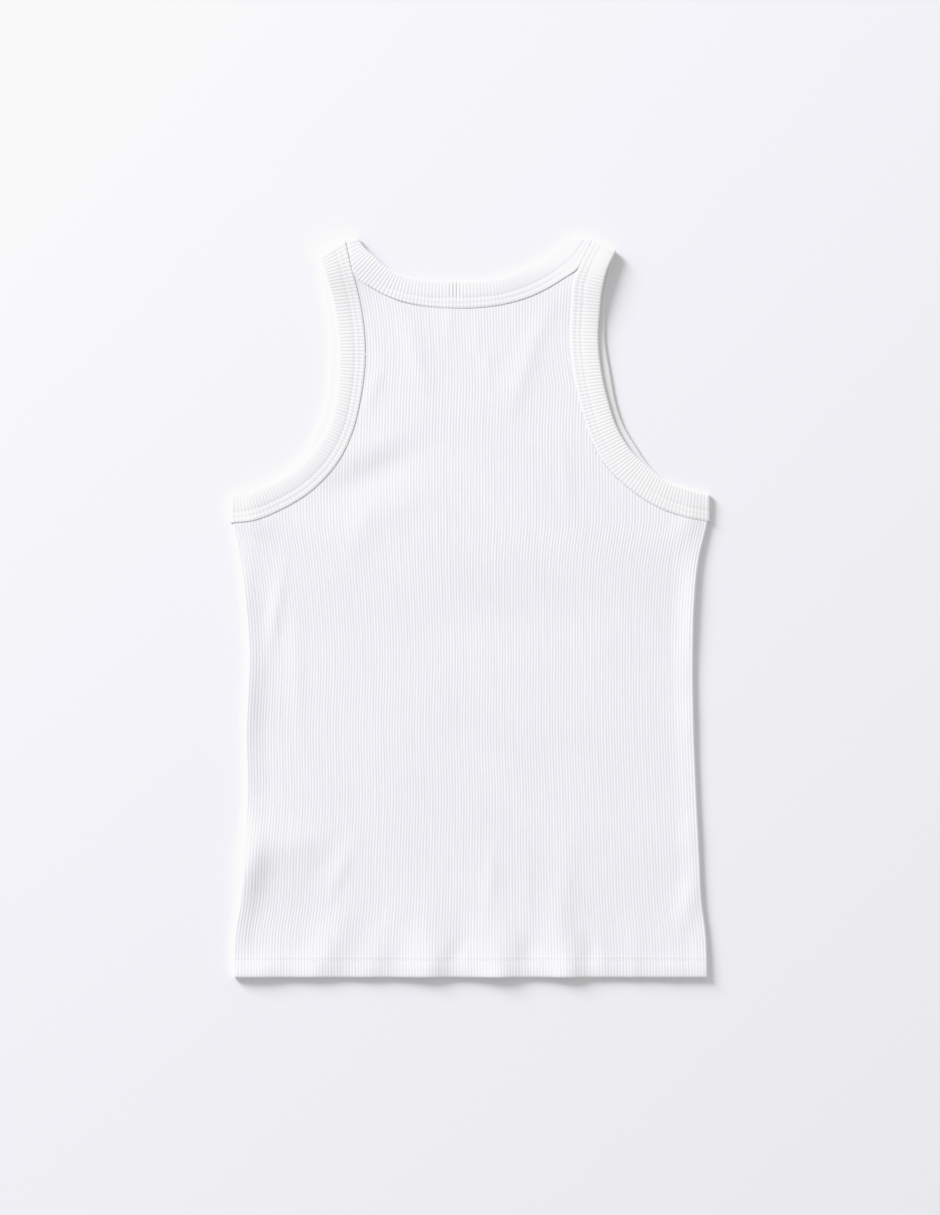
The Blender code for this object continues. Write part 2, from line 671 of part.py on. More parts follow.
def make_binding(name, back, front, material, collection):
    """A closed loop of folded rib: a stretch on top, a fold, a stretch underneath, a fold."""
    upper = stretch(back, rest_height, (0, 0, 1), 0)
    lower = stretch(front, lambda x, h: BINDING_THICKNESS, (0, 0, -1), 1)[1:-1]
    loop = upper + fold(upper[-1], upper[-2], True) + lower
    loop += fold(upper[0], upper[1], False)
    cloth = Cloth()
    rails = []
    for row in BINDING_SECTION:
        places, points = [], []
        for i, section in enumerate(loop):
            if not (row.fine or section.coarse):
                continue
            height = 0.0
            if row.thickness:
                height = between((row.thickness, BINDING_THICKNESS), section.flat)
                height += BINDING_RIB_RELIEF * row.ribbed * section.ridge
            places.append(i / len(loop))
            points.append(tuple(between(ends, row.across) + axis * height for *ends, axis in
                                zip(section.seam, section.rim, section.normal)))
        rails.append(cloth.rail(places, points, closed=True))
    cloth.lace_all(rails + rails[:1])
    cloth.finish(name, material, collection)


def make_bindings(material, collection):
    spacing = BINDING_RIB_PITCH / 2
    for name, stations in (("armhole_binding_left", LEFT_ARMHOLE),
                           ("armhole_binding_right", RIGHT_ARMHOLE)):
        back = stations_at(stations, spacing)
        front = stations_at(shifted(stations)[::-1], FRONT_STRETCH_STEP)
        make_binding(name, back, front, material, collection)
    back = beside_armholes(stations_at(BACK_NECK, spacing), LEFT_STRAP_EDGE, RIGHT_STRAP_EDGE)
    front_edges = [by_height(body_edge(shifted(s))) for s in (LEFT_ARMHOLE, RIGHT_ARMHOLE)]
    front = beside_armholes(stations_at(front_neck()[::-1], FRONT_STRETCH_STEP), *front_edges)
    make_binding("neck_binding", back, front, material, collection)


def main():
    for leftover in list(bpy.data.objects):
        bpy.data.objects.remove(leftover, do_unlink=True)
    collection = bpy.data.collections.new("tank_top")
    bpy.context.scene.collection.children.link(collection)
    cloth = fabric("white_rib_knit", CLOTH_WHITE)
    binding = fabric("white_rib_binding", BINDING_WHITE)
    make_back(cloth, collection)
    make_front(cloth, collection)
    make_bindings(binding, collection)


main()
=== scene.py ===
import math
from collections import namedtuple

import bmesh
import bpy
import numpy as np
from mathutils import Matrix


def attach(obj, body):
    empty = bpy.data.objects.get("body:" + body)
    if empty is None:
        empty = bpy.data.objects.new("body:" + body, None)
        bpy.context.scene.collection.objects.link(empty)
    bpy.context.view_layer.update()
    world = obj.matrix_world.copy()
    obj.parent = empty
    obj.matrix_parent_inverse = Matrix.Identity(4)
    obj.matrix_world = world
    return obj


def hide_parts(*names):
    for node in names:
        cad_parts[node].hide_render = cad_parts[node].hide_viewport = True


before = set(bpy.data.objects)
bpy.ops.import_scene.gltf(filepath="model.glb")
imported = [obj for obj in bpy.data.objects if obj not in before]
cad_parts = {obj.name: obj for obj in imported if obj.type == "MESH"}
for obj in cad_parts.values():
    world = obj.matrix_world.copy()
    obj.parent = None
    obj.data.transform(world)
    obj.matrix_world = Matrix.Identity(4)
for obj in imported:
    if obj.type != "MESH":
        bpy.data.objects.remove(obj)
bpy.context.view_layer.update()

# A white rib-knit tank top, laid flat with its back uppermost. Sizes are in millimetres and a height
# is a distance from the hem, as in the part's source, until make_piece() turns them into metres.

MM = 0.001

# ---------------------------------------------------------------- sizes, as in the part's source

LENGTH = 645.9
WALL = 1.2
SEAM_GAP = 0.3
BODY_RIBS = 154
RIB_RELIEF = 0.13             # lower than the part's 0.3, for the contrast of the photo's ribs
BINDING_THICKNESS = 2.2
BINDING_RIB_PITCH = 3.0
BINDING_RIB_RELIEF = 0.15     # likewise, the part's is 0.3

BODY_REST = WALL + SEAM_GAP
CHEST_REST = BINDING_THICKNESS + 0.4
FOLD_REST = 2.2
CHEST_FROM, CHEST_TO = 300.0, 385.0
FOLD_SLOPE = 20.0
SHOULDER_REACH = 0.5

Side = namedtuple("Side", "height left right")
SIDES = (
    Side(0, -207.1, 207.9),
    Side(35, -206.7, 206.8),
    Side(67, -201.8, 202.9),
    Side(107, -199.7, 200.9),
    Side(154, -196.3, 198.6),
    Side(213, -196.8, 196.3),
    Side(284, -194.5, 195.5),
    Side(329, -197.6, 196.9),
    Side(364, -202.0, 200.4),
    Side(396, -208.0, 207.9),
)
LEFT_SEAM_INSET = 11.5
RIGHT_SEAM_INSET = 3.4

Station = namedtuple("Station", "seam_x seam_h rim_x rim_h peek")
LEFT_ARMHOLE = (
    Station(-108.5, 641.7, -131.6, 626.0, 0.0),
    Station(-103.4, 618.5, -126.5, 612.4, 5.0),
    Station(-98.6, 601.1, -122.1, 597.6, 6.5),
    Station(-92.5, 566.2, -116.2, 564.4, 7.0),
    Station(-91.3, 542.6, -115.0, 542.6, 8.3),
    Station(-95.1, 506.9, -116.4, 511.3, 8.7),
    Station(-103.0, 474.6, -123.0, 482.5, 8.7),
    Station(-116.5, 447.6, -137.0, 459.0, 6.0),
    Station(-138.7, 424.1, -154.4, 441.9, 3.5),
    Station(-164.8, 407.9, -174.9, 430.2, 1.0),
    Station(-188.4, 398.5, -193.6, 423.2, 0.0),
    Station(-207.7, 396.2, -207.7, 420.1, 0.0),
)
RIGHT_ARMHOLE = (
    Station(107.0, 641.8, 126.6, 631.6, 0.0),
    Station(95.9, 620.3, 119.0, 614.6, 3.5),
    Station(90.6, 607.2, 115.9, 601.6, 4.0),
    Station(88.9, 586.2, 113.8, 584.5, 4.7),
    Station(87.8, 555.7, 112.2, 554.9, 6.0),
    Station(91.3, 524.0, 115.3, 526.1, 7.4),
    Station(97.6, 494.7, 121.2, 500.8, 6.2),
    Station(106.1, 468.5, 128.6, 479.0, 6.0),
    Station(119.4, 445.0, 141.1, 458.9, 5.5),
    Station(139.5, 425.8, 154.3, 446.3, 2.0),
    Station(164.5, 409.6, 172.6, 432.6, 0.0),
    Station(189.2, 400.9, 191.8, 425.5, 0.0),
    Station(207.7, 397.4, 207.7, 421.2, 0.0),
)
BACK_NECK = (
    Station(-107.9, 641.8, -97.3, 643.5, 0.0),
    Station(-104.9, 624.6, -90.7, 635.1, 0.0),
    Station(-100.3, 610.8, -83.8, 629.0, 0.0),
    Station(-87.9, 602.4, -73.3, 619.8, 0.0),
    Station(-61.1, 589.7, -55.9, 611.8, 0.0),
    Station(-41.0, 585.4, -39.3, 608.5, 0.0),
    Station(-15.7, 583.5, -15.7, 607.6, 0.0),
    Station(8.7, 584.1, 7.8, 608.1, 0.0),
    Station(28.7, 586.9, 24.4, 609.8, 0.0),
    Station(47.0, 591.7, 38.3, 615.0, 0.0),
    Station(78.4, 607.3, 64.9, 627.4, 0.0),
    Station(96.0, 621.6, 81.5, 641.2, 0.0),
    Station(106.3, 641.8, 89.5, 643.7, 0.0),
)
NECK_MIDDLE = -4.8
HalfNeck = namedtuple("HalfNeck", "seam_out seam_h rim_out rim_h")
FRONT_NECK = (
    HalfNeck(0.0, 514.5, 0.0, 539.0),
    HalfNeck(28.5, 519.0, 21.7, 542.5),
    HalfNeck(57.2, 533.0, 43.7, 553.5),
    HalfNeck(78.2, 556.0, 58.7, 570.0),
    HalfNeck(90.2, 582.0, 68.7, 592.5),
    HalfNeck(96.7, 605.0, 75.7, 614.0),
)
STRAP_FOOT = 515.0
STRAP_MARGIN = 10.0
STRAP_JUMP = 20.0
Lines = namedtuple("Lines", "height left right")
CHEST_LINES = (Lines(430, -197.5, 205.0), Lines(475, -195.5, 203.5))

# The main folds: the highest point, the way from it along the fold to where little is left, the
# half-width and the height
Ridge = namedtuple("Ridge", "name x h reach_x reach_h width height")
RIDGES = (
    Ridge("left shoulder", -122, 618, 0, 28, 30, 2.6),
    Ridge("right shoulder", 108, 616, 0, 32, 38, 3.4),
    Ridge("chest crease", -84, 438, 38, 17, 12, -1.0),
    Ridge("over it", -86, 462, 30, 13, 11, 0.4),
    Ridge("under it", -76, 405, 38, 17, 10, 0.4),
    Ridge("its bend downwards", -96, 390, 8, 22, 11, 0.3),
    Ridge("below the right shoulder", 57, 556, 12, 28, 8, 0.4),
    Ridge("below the left shoulder", -47, 542, 9, -28, 8, 0.6),
    Ridge("left side, under the arm", -170, 318, 7, 39, 6, 0.5),
    Ridge("left side, waist", -195, 240, 1, 45, 10, 0.9),
    Ridge("left side, near the hem", -191, 98, 6, 32, 14, 2.4),
    Ridge("inside of it", -158, 116, 26, 4, 15, 0.6),
    Ridge("swell of the lower left corner", -138, 95, 45, 0, 45, 0.35),
    Ridge("hollow beside it", -130, 96, 12, 19, 8, -0.25),
    Ridge("the hem's own thickness", 0, 0, 500, 0, 40, 1.0),
    Ridge("left end of the hem", -181, 0, 26, 0, 15, 1.3),
    Ridge("first slanting flute", -135, 0, 26, 55, 15, 1.2),
    Ridge("second slanting flute", -88, 0, 20, 48, 13, 0.8),
    Ridge("first flute", -50, 0, 13, 50, 16, 1.1),
    Ridge("second flute", 20, 0, 2, 60, 17, 0.8),
    Ridge("third flute", 80, 0, -2, 60, 13, 1.0),
    Ridge("flare of the first flute", -34, 0, 3, 24, 13, 1.8),
    Ridge("flare of the second flute", 26, 0, 0, 22, 14, 2.2),
    Ridge("left of it", 8, 0, 0, 30, 17, 1.2),
    Ridge("flare of the third flute", 88, 0, 0, 20, 13, 1.7),
    Ridge("right end of the hem", 180, 0, 26, 0, 16, 1.0),
    Ridge("right side, near the hem", 190, 66, 5, 20, 9, 0.9),
    Ridge("right side, under the arm", 195, 325, 1, 50, 10, 1.2),
)

# ---------------------------------------------------------------- sizes that only the looks need

# Smaller creases, raised or sunk
CREASES = (
    Ridge("right foot of the first flute", -11, 22, 5, 12, 8, -0.6),
    Ridge("right foot of the second flute", 51, 20, 0, 14, 9, -0.7),
    Ridge("right foot of the third flute", 104, 20, -2, 12, 9, -0.8),
    Ridge("foot of the right shoulder's ridge", 44, 519, 9, 22, 9, 0.4),
    Ridge("beside the left armhole", -84, 514, 7, 22, 6, 0.35),
    Ridge("left of the neck's join", -18, 575, 0, 14, 5, 0.25),
    Ridge("right of the neck's join", 7, 559, 5, -12, 6, 0.3),
    Ridge("chest, right", 84, 435, -3, 30, 6, 0.25),
    Ridge("below the chest crease", -80, 387, 22, 7, 6, 0.25),
    Ridge("under the left arm", -188, 396, 22, -3, 9, 0.9),
    Ridge("under the right arm", 188, 393, 12, 10, 9, 0.5),
    Ridge("inside of the left waist", -151, 268, -2, 52, 7, 0.3),
    Ridge("right side, waist", 194, 225, 1, 20, 10, 0.5),
    Ridge("right side, low", 193, 123, 0, 14, 9, 0.4),
    Ridge("above the slanting flutes", -113, 92, 9, 19, 6, 0.4),
    Ridge("over the second flute", 18, 85, 2, 26, 6, 0.35),
    Ridge("between the flutes", 50, 80, 0, 26, 6, 0.25),
    Ridge("over the third flute", 84, 85, 3, 35, 9, 0.3),
    Ridge("after the third flute", 113, 0, 0, 40, 7, 0.3),
    Ridge("fourth flute", 143, 0, 0, 35, 7, 0.4),
    Ridge("left side, high", -195, 340, 1, 35, 8, 0.5),
    Ridge("neck, right of the middle", 16, 535, 3, 12, 6, 0.25),
    Ridge("back of the second flute", 25, 6, 0, 18, 14, -0.8),
    Ridge("back of its left part", 8, 4, 0, 26, 16, -0.8),
    Ridge("curl of its edge", 29, 0, 0, 5, 13, 0.6),
    Ridge("curl of the hem's left end", -188, 0, 0, 14, 16, 1.0),
    Ridge("slope of the lower left corner", -176, 106, 9, 30, 30, 1.0),
)
RIB_PHASES = (0.0, 0.14, 0.30, 0.50, 0.70, 0.86)   # where a rib has points, in shares of a pitch
RIB_ROUNDNESS = 1.2
BINDING_RIB_ROUNDNESS = 0.9
SMOOTH_FROM, SMOOTH_WITHIN, SMOOTH_SHARE = 612.0, 12.0, 0.75   # stretched smooth at the right top
# The columns at which the straps' edges stand, and how many ribs wide the front is between its wraps
BACK_STRAP_RIBS, FRONT_STRAP_RIBS, FRONT_RIBS = (39, 110.5), (41, 119), 160
GROUND_RELIEF = 0.35          # of the ribs that lie on the ground
ROW_STEP = 7.0
HEM_ROWS = (0.0, 0.5, 2.0, 8.0, 12.5, 14.2, 15.2, 15.9, 16.6, 17.3, 18.1, 19.0, 20.5)
EDGE_STEP = 0.8
TINY = 1e-5
NARROWEST_TIP = 0.35
TIP_STEP = 0.5
SHORTEST_STEP = 1.5
INNER_ROWS, INNER_RIBS = 4, 2.0     # of the plain inside: rows and ribs for each of its own
LOW_INNER_ROWS = (0.0, 8.0)
UNDERARM_FROM = 150.0         # least distance from the middle of the armhole's part over a side fold
END_MARGIN = 1.0              # kept free beside a seam or a side fold
PANEL_SHARP_ANGLE = 50        # in degrees
# How a rib strays sideways and its relief varies along its height
Wave = namedtuple("Wave", "amount length turn")
STRAY_WAVES = (Wave(0.10, 31, 1.9), Wave(0.07, 13, 0.7))
SWELL_WAVES = (Wave(0.12, 23, 2.3), Wave(0.08, 9, 1.1))
OTHER_SIDE = 17               # ribs between the waves of one side fold and those of the other
COURSE = 0.9              # height of one row of stitches of the knit

# Section of a binding, from the seam's underside over the outside to the rim and back: share of the
# width, distance beyond it, height over the inside, share of the rib relief
Rail = namedtuple("Rail", "across beyond height ribbed")
BINDING_SECTION = (
    Rail(0.00, 0.00, 0.00, 0.0),
    Rail(0.00, 0.00, 1.40, 0.0),
    Rail(0.00, -0.20, 1.42, 0.0),
    Rail(0.00, -0.30, 1.47, 0.2),
    Rail(0.02, -0.10, 1.63, 0.6),
    Rail(0.07, 0.00, 1.71, 1.0),
    Rail(0.15, 0.00, 1.74, 1.0),
    Rail(0.18, 0.00, 1.65, 0.6),
    Rail(0.21, 0.00, 1.75, 1.0),
    Rail(0.28, 0.00, 1.80, 1.0),
    Rail(0.34, 0.00, 1.80, 1.0),
    Rail(0.37, 0.00, 1.71, 0.6),
    Rail(0.40, 0.00, 1.83, 1.0),
    Rail(0.50, 0.00, 1.97, 1.0),
    Rail(0.62, 0.00, 2.06, 1.0),
    Rail(0.74, 0.00, 2.09, 1.0),
    Rail(0.85, 0.00, 2.07, 1.0),
    Rail(0.91, 0.00, 2.02, 1.0),
    Rail(0.95, 0.00, 1.94, 1.0),
    Rail(0.985, 0.00, 1.72, 0.9),
    Rail(1.00, 0.00, 1.20, 0.8),
    Rail(0.985, 0.00, 0.60, 0.6),
    Rail(0.95, 0.00, 0.30, 0.3),
    Rail(0.88, 0.00, 0.14, 0.0),
    Rail(0.74, 0.00, 0.03, 0.0),
    Rail(0.55, 0.00, 0.00, 0.0),
)
STITCH_ROWS = (0.18, 0.37)          # of the cover stitch, in shares of a binding's width
ROW_HEIGHTS = (1.66, 1.72)
FOLD_STEPS = 8
# The neck band's left end lies under the armhole band's flange, thinner there, and its ribs are
# bunched where its ends are joined
NECK_WIDTH = 24.5
NECK_SEAM_DROPS = (0.30, 0.10)      # how much thinner the neck band's edge is, left and right
NECK_DROPS_FROM, NECK_DROPS_OVER = -60.0, 110.0    # where it goes from one to the other
UNDERARM_DROP, UNDERARM_HEIGHT = 0.25, 490.0   # the same of the right armhole band, low down
UNDERARM_FADE = 30.0
EDGE_OVER, EDGE_WITHIN = 1.0, 0.05  # height and share of the width that make a rail part of the edge
NECK_OVERHANG = 1.4                 # of its edge over the body, in shares of the armhole bands'
NARROWED = 1.15                     # where it is narrower than this share, its edge is hidden
Place = namedtuple("Place", "x h")
STRAP_TIPS, TIP_REACH, TIP_SHARE = (Place(-101, 611), Place(94, 617)), 5.0, 2.0
TUCK, TUCK_REACH, TUCK_SHARE = Place(-102, 637), 20.0, 0.32
JOIN_X, JOIN_WIDTH, JOIN_DEPTH = -12.5, 5.0, 0.38
Part = namedtuple("Part", "x share")
NECK_RIBS = (Part(-75, 1.2), Part(-35, 1.0), Part(15, 0.8), Part(45, 0.2))   # of the rib relief

FOLD_RIB_RELIEF = 0.6               # of the ribs round a fold

STITCH_PITCH, STITCH_LENGTH, THREAD_RADIUS, THREAD_SIDES = 3.0, 2.1, 0.15, 6
Bead = namedtuple("Bead", "along radius sunk")     # shares of a stitch's length and radius, and mm
STITCH_BEADS = (Bead(0.0, 0.35, 0.28), Bead(0.12, 0.85, 0.08), Bead(0.5, 1.0, 0.0),
                Bead(0.88, 0.85, 0.08), Bead(1.0, 0.35, 0.28))
HEM_STITCH_HEIGHT = 15.2
HEM_STITCH_LIFT, GROUND_STITCH_HEIGHT, HEM_PATH_POINTS = 0.02, 0.26, 600
HemMark = namedtuple("HemMark", "above height width")     # above the stitches, and half-width
HEM_RIDGE, HEM_FURROW = HemMark(2.3, 0.06, 1.1), HemMark(-0.4, -0.06, 1.3)
GROUND_FURROW = HemMark(0.0, 0.25, 0.8)
HEM_EDGE_DROP, HEM_EDGE_ROUND = 0.4, 1.2


# ---------------------------------------------------------------- curves

def through(knots, values, t):
    """Rows of values at t of a smooth cubic through rows of values at rising knots."""
    knots, values = np.asarray(knots, float), np.asarray(values, float)
    t = np.clip(np.asarray(t, float), knots[0], knots[-1])
    i = np.clip(np.searchsorted(knots, t, side="right") - 1, 0, len(knots) - 2)
    step = np.diff(knots)
    rise = np.diff(values, axis=0) / step[:, None]
    slope = np.vstack([rise[:1], np.zeros_like(values[1:-1]), rise[-1:]])
    before, after = step[:-1, None], step[1:, None]
    slope[1:-1] = (rise[:-1] * after + rise[1:] * before) / (before + after)
    s, width = ((t - knots[i]) / step[i])[..., None], step[i][..., None]
    a, b, climb = slope[i] * width, slope[i + 1] * width, values[i + 1] - values[i]
    return values[i] + s * (a + s * (3 * climb - 2 * a - b + s * (a + b - 2 * climb)))


def from_table(rows, height):
    table = np.array(rows, float)
    result = through(table[:, 0], table[:, 1:], height)
    return result[..., 0], result[..., 1]


def interpolate(pairs, t):
    pairs = np.asarray(pairs, float)
    return np.interp(t, pairs[:, 0], pairs[:, 1])


def ease(t):
    t = np.clip(t, 0.0, 1.0)
    return t * t * (3 - 2 * t)


def between(ends, share):
    return ends[0] + (ends[1] - ends[0]) * share


# ---------------------------------------------------------------- seams

def stations_along(stations, shares):
    """The stations' columns at shares of the way along them, and the way's length."""
    table = np.array(stations, float)
    middles = (table[:, 0:2] + table[:, 2:4]) / 2
    knots = np.concatenate([[0.0], np.cumsum(np.hypot(*np.diff(middles, axis=0).T))])
    return through(knots, table, np.asarray(shares, float) * knots[-1]), knots[-1]


def shifted(stations):
    result = []
    for s in stations:
        share = s.peek / math.dist((s.rim_x, s.rim_h), (s.seam_x, s.seam_h))
        dx, dh = (s.rim_x - s.seam_x) * share, (s.rim_h - s.seam_h) * share
        result.append(Station(s.seam_x + dx, s.seam_h + dh, s.rim_x + dx, s.rim_h + dh, s.peek))
    return result


def front_neck():
    right = [Station(NECK_MIDDLE + row.seam_out, row.seam_h,
                     NECK_MIDDLE + row.rim_out, row.rim_h, 0.0) for row in FRONT_NECK]
    left = [s._replace(seam_x=2 * NECK_MIDDLE - s.seam_x,
                       rim_x=2 * NECK_MIDDLE - s.rim_x) for s in right[:0:-1]]
    return [BACK_NECK[0]] + left + right + [BACK_NECK[-1]]


def body_edge(stations):
    """The body's edge along a binding, as rows of (x, height)."""
    _, length = stations_along(stations, [0.0])
    rows, _ = stations_along(stations, np.linspace(0, 1, round(length / EDGE_STEP) + 1))
    seam, rim = rows[:, 0:2], rows[:, 2:4]
    out = rim - seam
    return seam - out * (SEAM_GAP / np.hypot(*out.T))[:, None]


def by_height(edge):
    kept = edge[edge[:, 1] > STRAP_FOOT - STRAP_MARGIN]
    return kept[np.argsort(kept[:, 1])][:, ::-1]


def strap_tip(armhole_edge, neck_edge):
    height = armhole_edge[-1, 0]
    while True:
        x_armhole, x_neck = interpolate(armhole_edge, height), interpolate(neck_edge, height)
        if abs(x_armhole) - abs(x_neck) > NARROWEST_TIP:
            return [(x_armhole, height), (x_neck, height)], height
        height -= TIP_STEP


def top_edge(left_armhole, neck, right_armhole):
    """A body panel's edge, from the left underarm over both straps to the right one."""
    neck_edge = body_edge(neck)
    halves = []
    for sign, stations in ((-1, left_armhole), (1, right_armhole)):
        armhole_edge = body_edge(stations)
        half = neck_edge[sign * (neck_edge[:, 0] - NECK_MIDDLE) > 0]
        corners, tip = strap_tip(by_height(armhole_edge), half[np.argsort(half[:, 1])][:, ::-1])
        side = [tuple(p) for p in armhole_edge[::-1] if p[1] < tip - EDGE_STEP]
        rest = sorted((tuple(p) for p in half if p[1] < tip - EDGE_STEP), key=lambda p: -abs(p[0]))
        halves.append(side + corners + rest)
    return halves[0] + halves[1][::-1]


def beside_armholes(rows, left_edge, right_edge):
    """Neck stations, moved where they would reach under the armhole bindings on the straps."""
    low, high = interpolate(left_edge, rows[:, 1]), interpolate(right_edge, rows[:, 1])
    rows = rows.copy()
    rows[:, 0] = np.where(rows[:, 1] > STRAP_FOOT, np.clip(rows[:, 0], low, high), rows[:, 0])
    return rows


# ---------------------------------------------------------------- how the cloth lies

def side_edges(height):
    return from_table(SIDES, height)


def side_seams(height):
    left, right = side_edges(height)
    return left + LEFT_SEAM_INSET, right - RIGHT_SEAM_INSET


def raised(ridges, x, height):
    total = 0.0
    for r in ridges:
        reach = math.hypot(r.reach_x, r.reach_h)
        dx, dh = x - r.x, height - r.h
        along = (dx * r.reach_x + dh * r.reach_h) / reach ** 2
        across = (dx * r.reach_h - dh * r.reach_x) / (reach * r.width)
        total = total + r.height * np.exp(-along ** 2 - across ** 2)
    return total


def rest_height(x, height):
    """Height over the ground of the upper layer's underside."""
    level = between((BODY_REST, CHEST_REST), ease((height - CHEST_FROM) / (CHEST_TO - CHEST_FROM)))
    left, right = side_edges(height)
    near_fold = ease(1 - (np.minimum(x - left, right - x) - WALL) / FOLD_SLOPE)
    level = between((level, FOLD_REST), near_fold)
    return level + raised(RIDGES, x, height) + raised(CREASES, x, height)


def rib_profile(phase, roundness=RIB_ROUNDNESS):
    """Height of a rib's section, from 0 in the furrows to 1 on its crest."""
    return np.abs(np.sin(np.pi * np.asarray(phase, float))) ** roundness


def hem_mark(mark, height):
    return mark.height * np.exp(-((height - HEM_STITCH_HEIGHT - mark.above) / mark.width) ** 2)


def hem_relief(height):
    """What the turned-up hem and its stitches add to the outside, in millimetres."""
    bottom = -HEM_EDGE_DROP * np.clip(1 - height / HEM_EDGE_ROUND, 0, 1) ** 2
    return bottom + hem_mark(HEM_RIDGE, height) + hem_mark(HEM_FURROW, height)


# ---------------------------------------------------------------- meshes

class Cloth:
    """Points with their place on the knit, and faces laced together from rails of points."""

    def __init__(self):
        self.points, self.knit, self.faces = [], [], []

    def rail(self, places, points, rib):
        first = len(self.points)
        self.points += points
        self.knit += [(rib, place / COURSE) for place in places]
        return list(zip(places, range(first, first + len(points))))

    def lace(self, a, b):
        i = j = 0
        while i < len(a) - 1 or j < len(b) - 1:
            next_a = a[i + 1][0] if i < len(a) - 1 else math.inf
            next_b = b[j + 1][0] if j < len(b) - 1 else math.inf
            corners = [a[i][1], b[j][1]]
            if next_b <= next_a:
                j += 1
                corners.append(b[j][1])
            if next_a <= next_b:
                i += 1
                corners.append(a[i][1])
            self.faces.append(corners)

    def grid(self, points, knit):
        """A grid of points, closed both ways, as quads."""
        n, m = points.shape[:2]
        first = len(self.points)
        self.points += [tuple(p) for p in points.reshape(-1, 3)]
        self.knit += [tuple(k) for k in knit.reshape(-1, 2)]
        for i in range(n):
            for j in range(m):
                k, l = (i + 1) % n, (j + 1) % m
                self.faces.append([first + i * m + j, first + k * m + j,
                                   first + k * m + l, first + i * m + l])


def make_piece(name, cloth, material, sharp=None):
    mesh = bpy.data.meshes.new(name)
    points = np.array(cloth.points, float)
    points[:, 1] -= LENGTH / 2
    mesh.from_pydata((points * MM).tolist(), [], cloth.faces)
    layer = mesh.uv_layers.new(name="knit")
    corners = np.empty(len(mesh.loops), np.int32)
    mesh.loops.foreach_get("vertex_index", corners)
    layer.data.foreach_set("uv", np.array(cloth.knit, np.float32)[corners].ravel())
    shaped = bmesh.new()
    shaped.from_mesh(mesh)
    bmesh.ops.recalc_face_normals(shaped, faces=shaped.faces[:])
    shaped.to_mesh(mesh)
    shaped.free()
    mesh.materials.append(material)
    mesh.shade_smooth()
    if sharp:
        mesh.set_sharp_from_angle(angle=math.radians(sharp))
    piece = bpy.data.objects.new(name, mesh)
    bpy.context.scene.collection.objects.link(piece)
    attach(piece, "root")
    return piece


# ---------------------------------------------------------------- panels

Panel = namedtuple("Panel", "ribs left_rib right_rib left_edge right_edge side_lines chest")


def rib_lines(panel, height):
    """Where a panel's outermost ribs run at each height."""
    height = np.asarray(height, float)
    top = SIDES[-1].height

    def strap_lines(h):
        left = interpolate(panel.left_edge, h)
        pitch = (interpolate(panel.right_edge, h) - left) / (panel.right_rib - panel.left_rib)
        return left - panel.left_rib * pitch, left + (panel.ribs - panel.left_rib) * pitch

    low = panel.side_lines(np.minimum(height, top))
    high = strap_lines(np.maximum(height, STRAP_FOOT))
    rows = (Lines(top, *panel.side_lines(np.float64(top))),) + panel.chest
    middle = from_table(rows + (Lines(STRAP_FOOT, *strap_lines(STRAP_FOOT)),), height)
    return tuple(np.where(height <= top, a, np.where(height >= STRAP_FOOT, c, b))
                 for a, b, c in zip(low, middle, high))


def column_ribs(ribs):
    """Each column's place, in ribs from the left."""
    return np.array([rib + phase for rib in range(ribs) for phase in RIB_PHASES] + [float(ribs)])


def column_ends(panel, edge, places):
    """The height at which each column of a panel ends on its top edge."""
    pairs = []
    for x, height in edge:
        left, right = rib_lines(panel, height)
        place = (x - left) / (right - left) * panel.ribs
        if not pairs or place > pairs[-1][0] + TINY * panel.ribs:
            pairs.append((place, height))
        elif height > pairs[-1][1]:
            pairs[-1] = (pairs[-1][0], height)
    ends = interpolate(pairs, places)
    xs = np.array(edge)
    ends[np.searchsorted(places, panel.left_rib)] = xs[xs[:, 0] < NECK_MIDDLE, 1].max()
    ends[np.searchsorted(places, panel.right_rib)] = xs[xs[:, 0] > NECK_MIDDLE, 1].max()
    return ends


def cut_to(rail, top):
    if rail[-1][0] < top + STRAP_JUMP:
        return rail
    return [point for k, point in enumerate(rail) if k == 0 or rail[k - 1][0] < top]


def edge_chain(columns, panel):
    """The top edge of a layer of columns: their ends, and the straps' edges between them."""
    chain = []
    for before, this, after in zip([None] + columns, columns, columns[1:] + [None]):
        rib, rail = this
        ends = [rail[-1]]
        if rib == panel.left_rib:
            ends = [point for point in rail if point[0] > before[1][-1][0]]
        if rib == panel.right_rib:
            ends = [point for point in rail if point[0] > after[1][-1][0]][::-1]
        chain += [(rib + k / len(ends) / 100, index) for k, (_, index) in enumerate(ends)]
    return chain


def body_rows():
    last = HEM_ROWS[-1]
    count = round((LENGTH - last) / ROW_STEP)
    return list(HEM_ROWS) + [last + ROW_STEP * (k + 1) for k in range(count)]


BACK = Panel(BODY_RIBS, *BACK_STRAP_RIBS, by_height(body_edge(LEFT_ARMHOLE)),
             by_height(body_edge(RIGHT_ARMHOLE)), side_seams, CHEST_LINES)


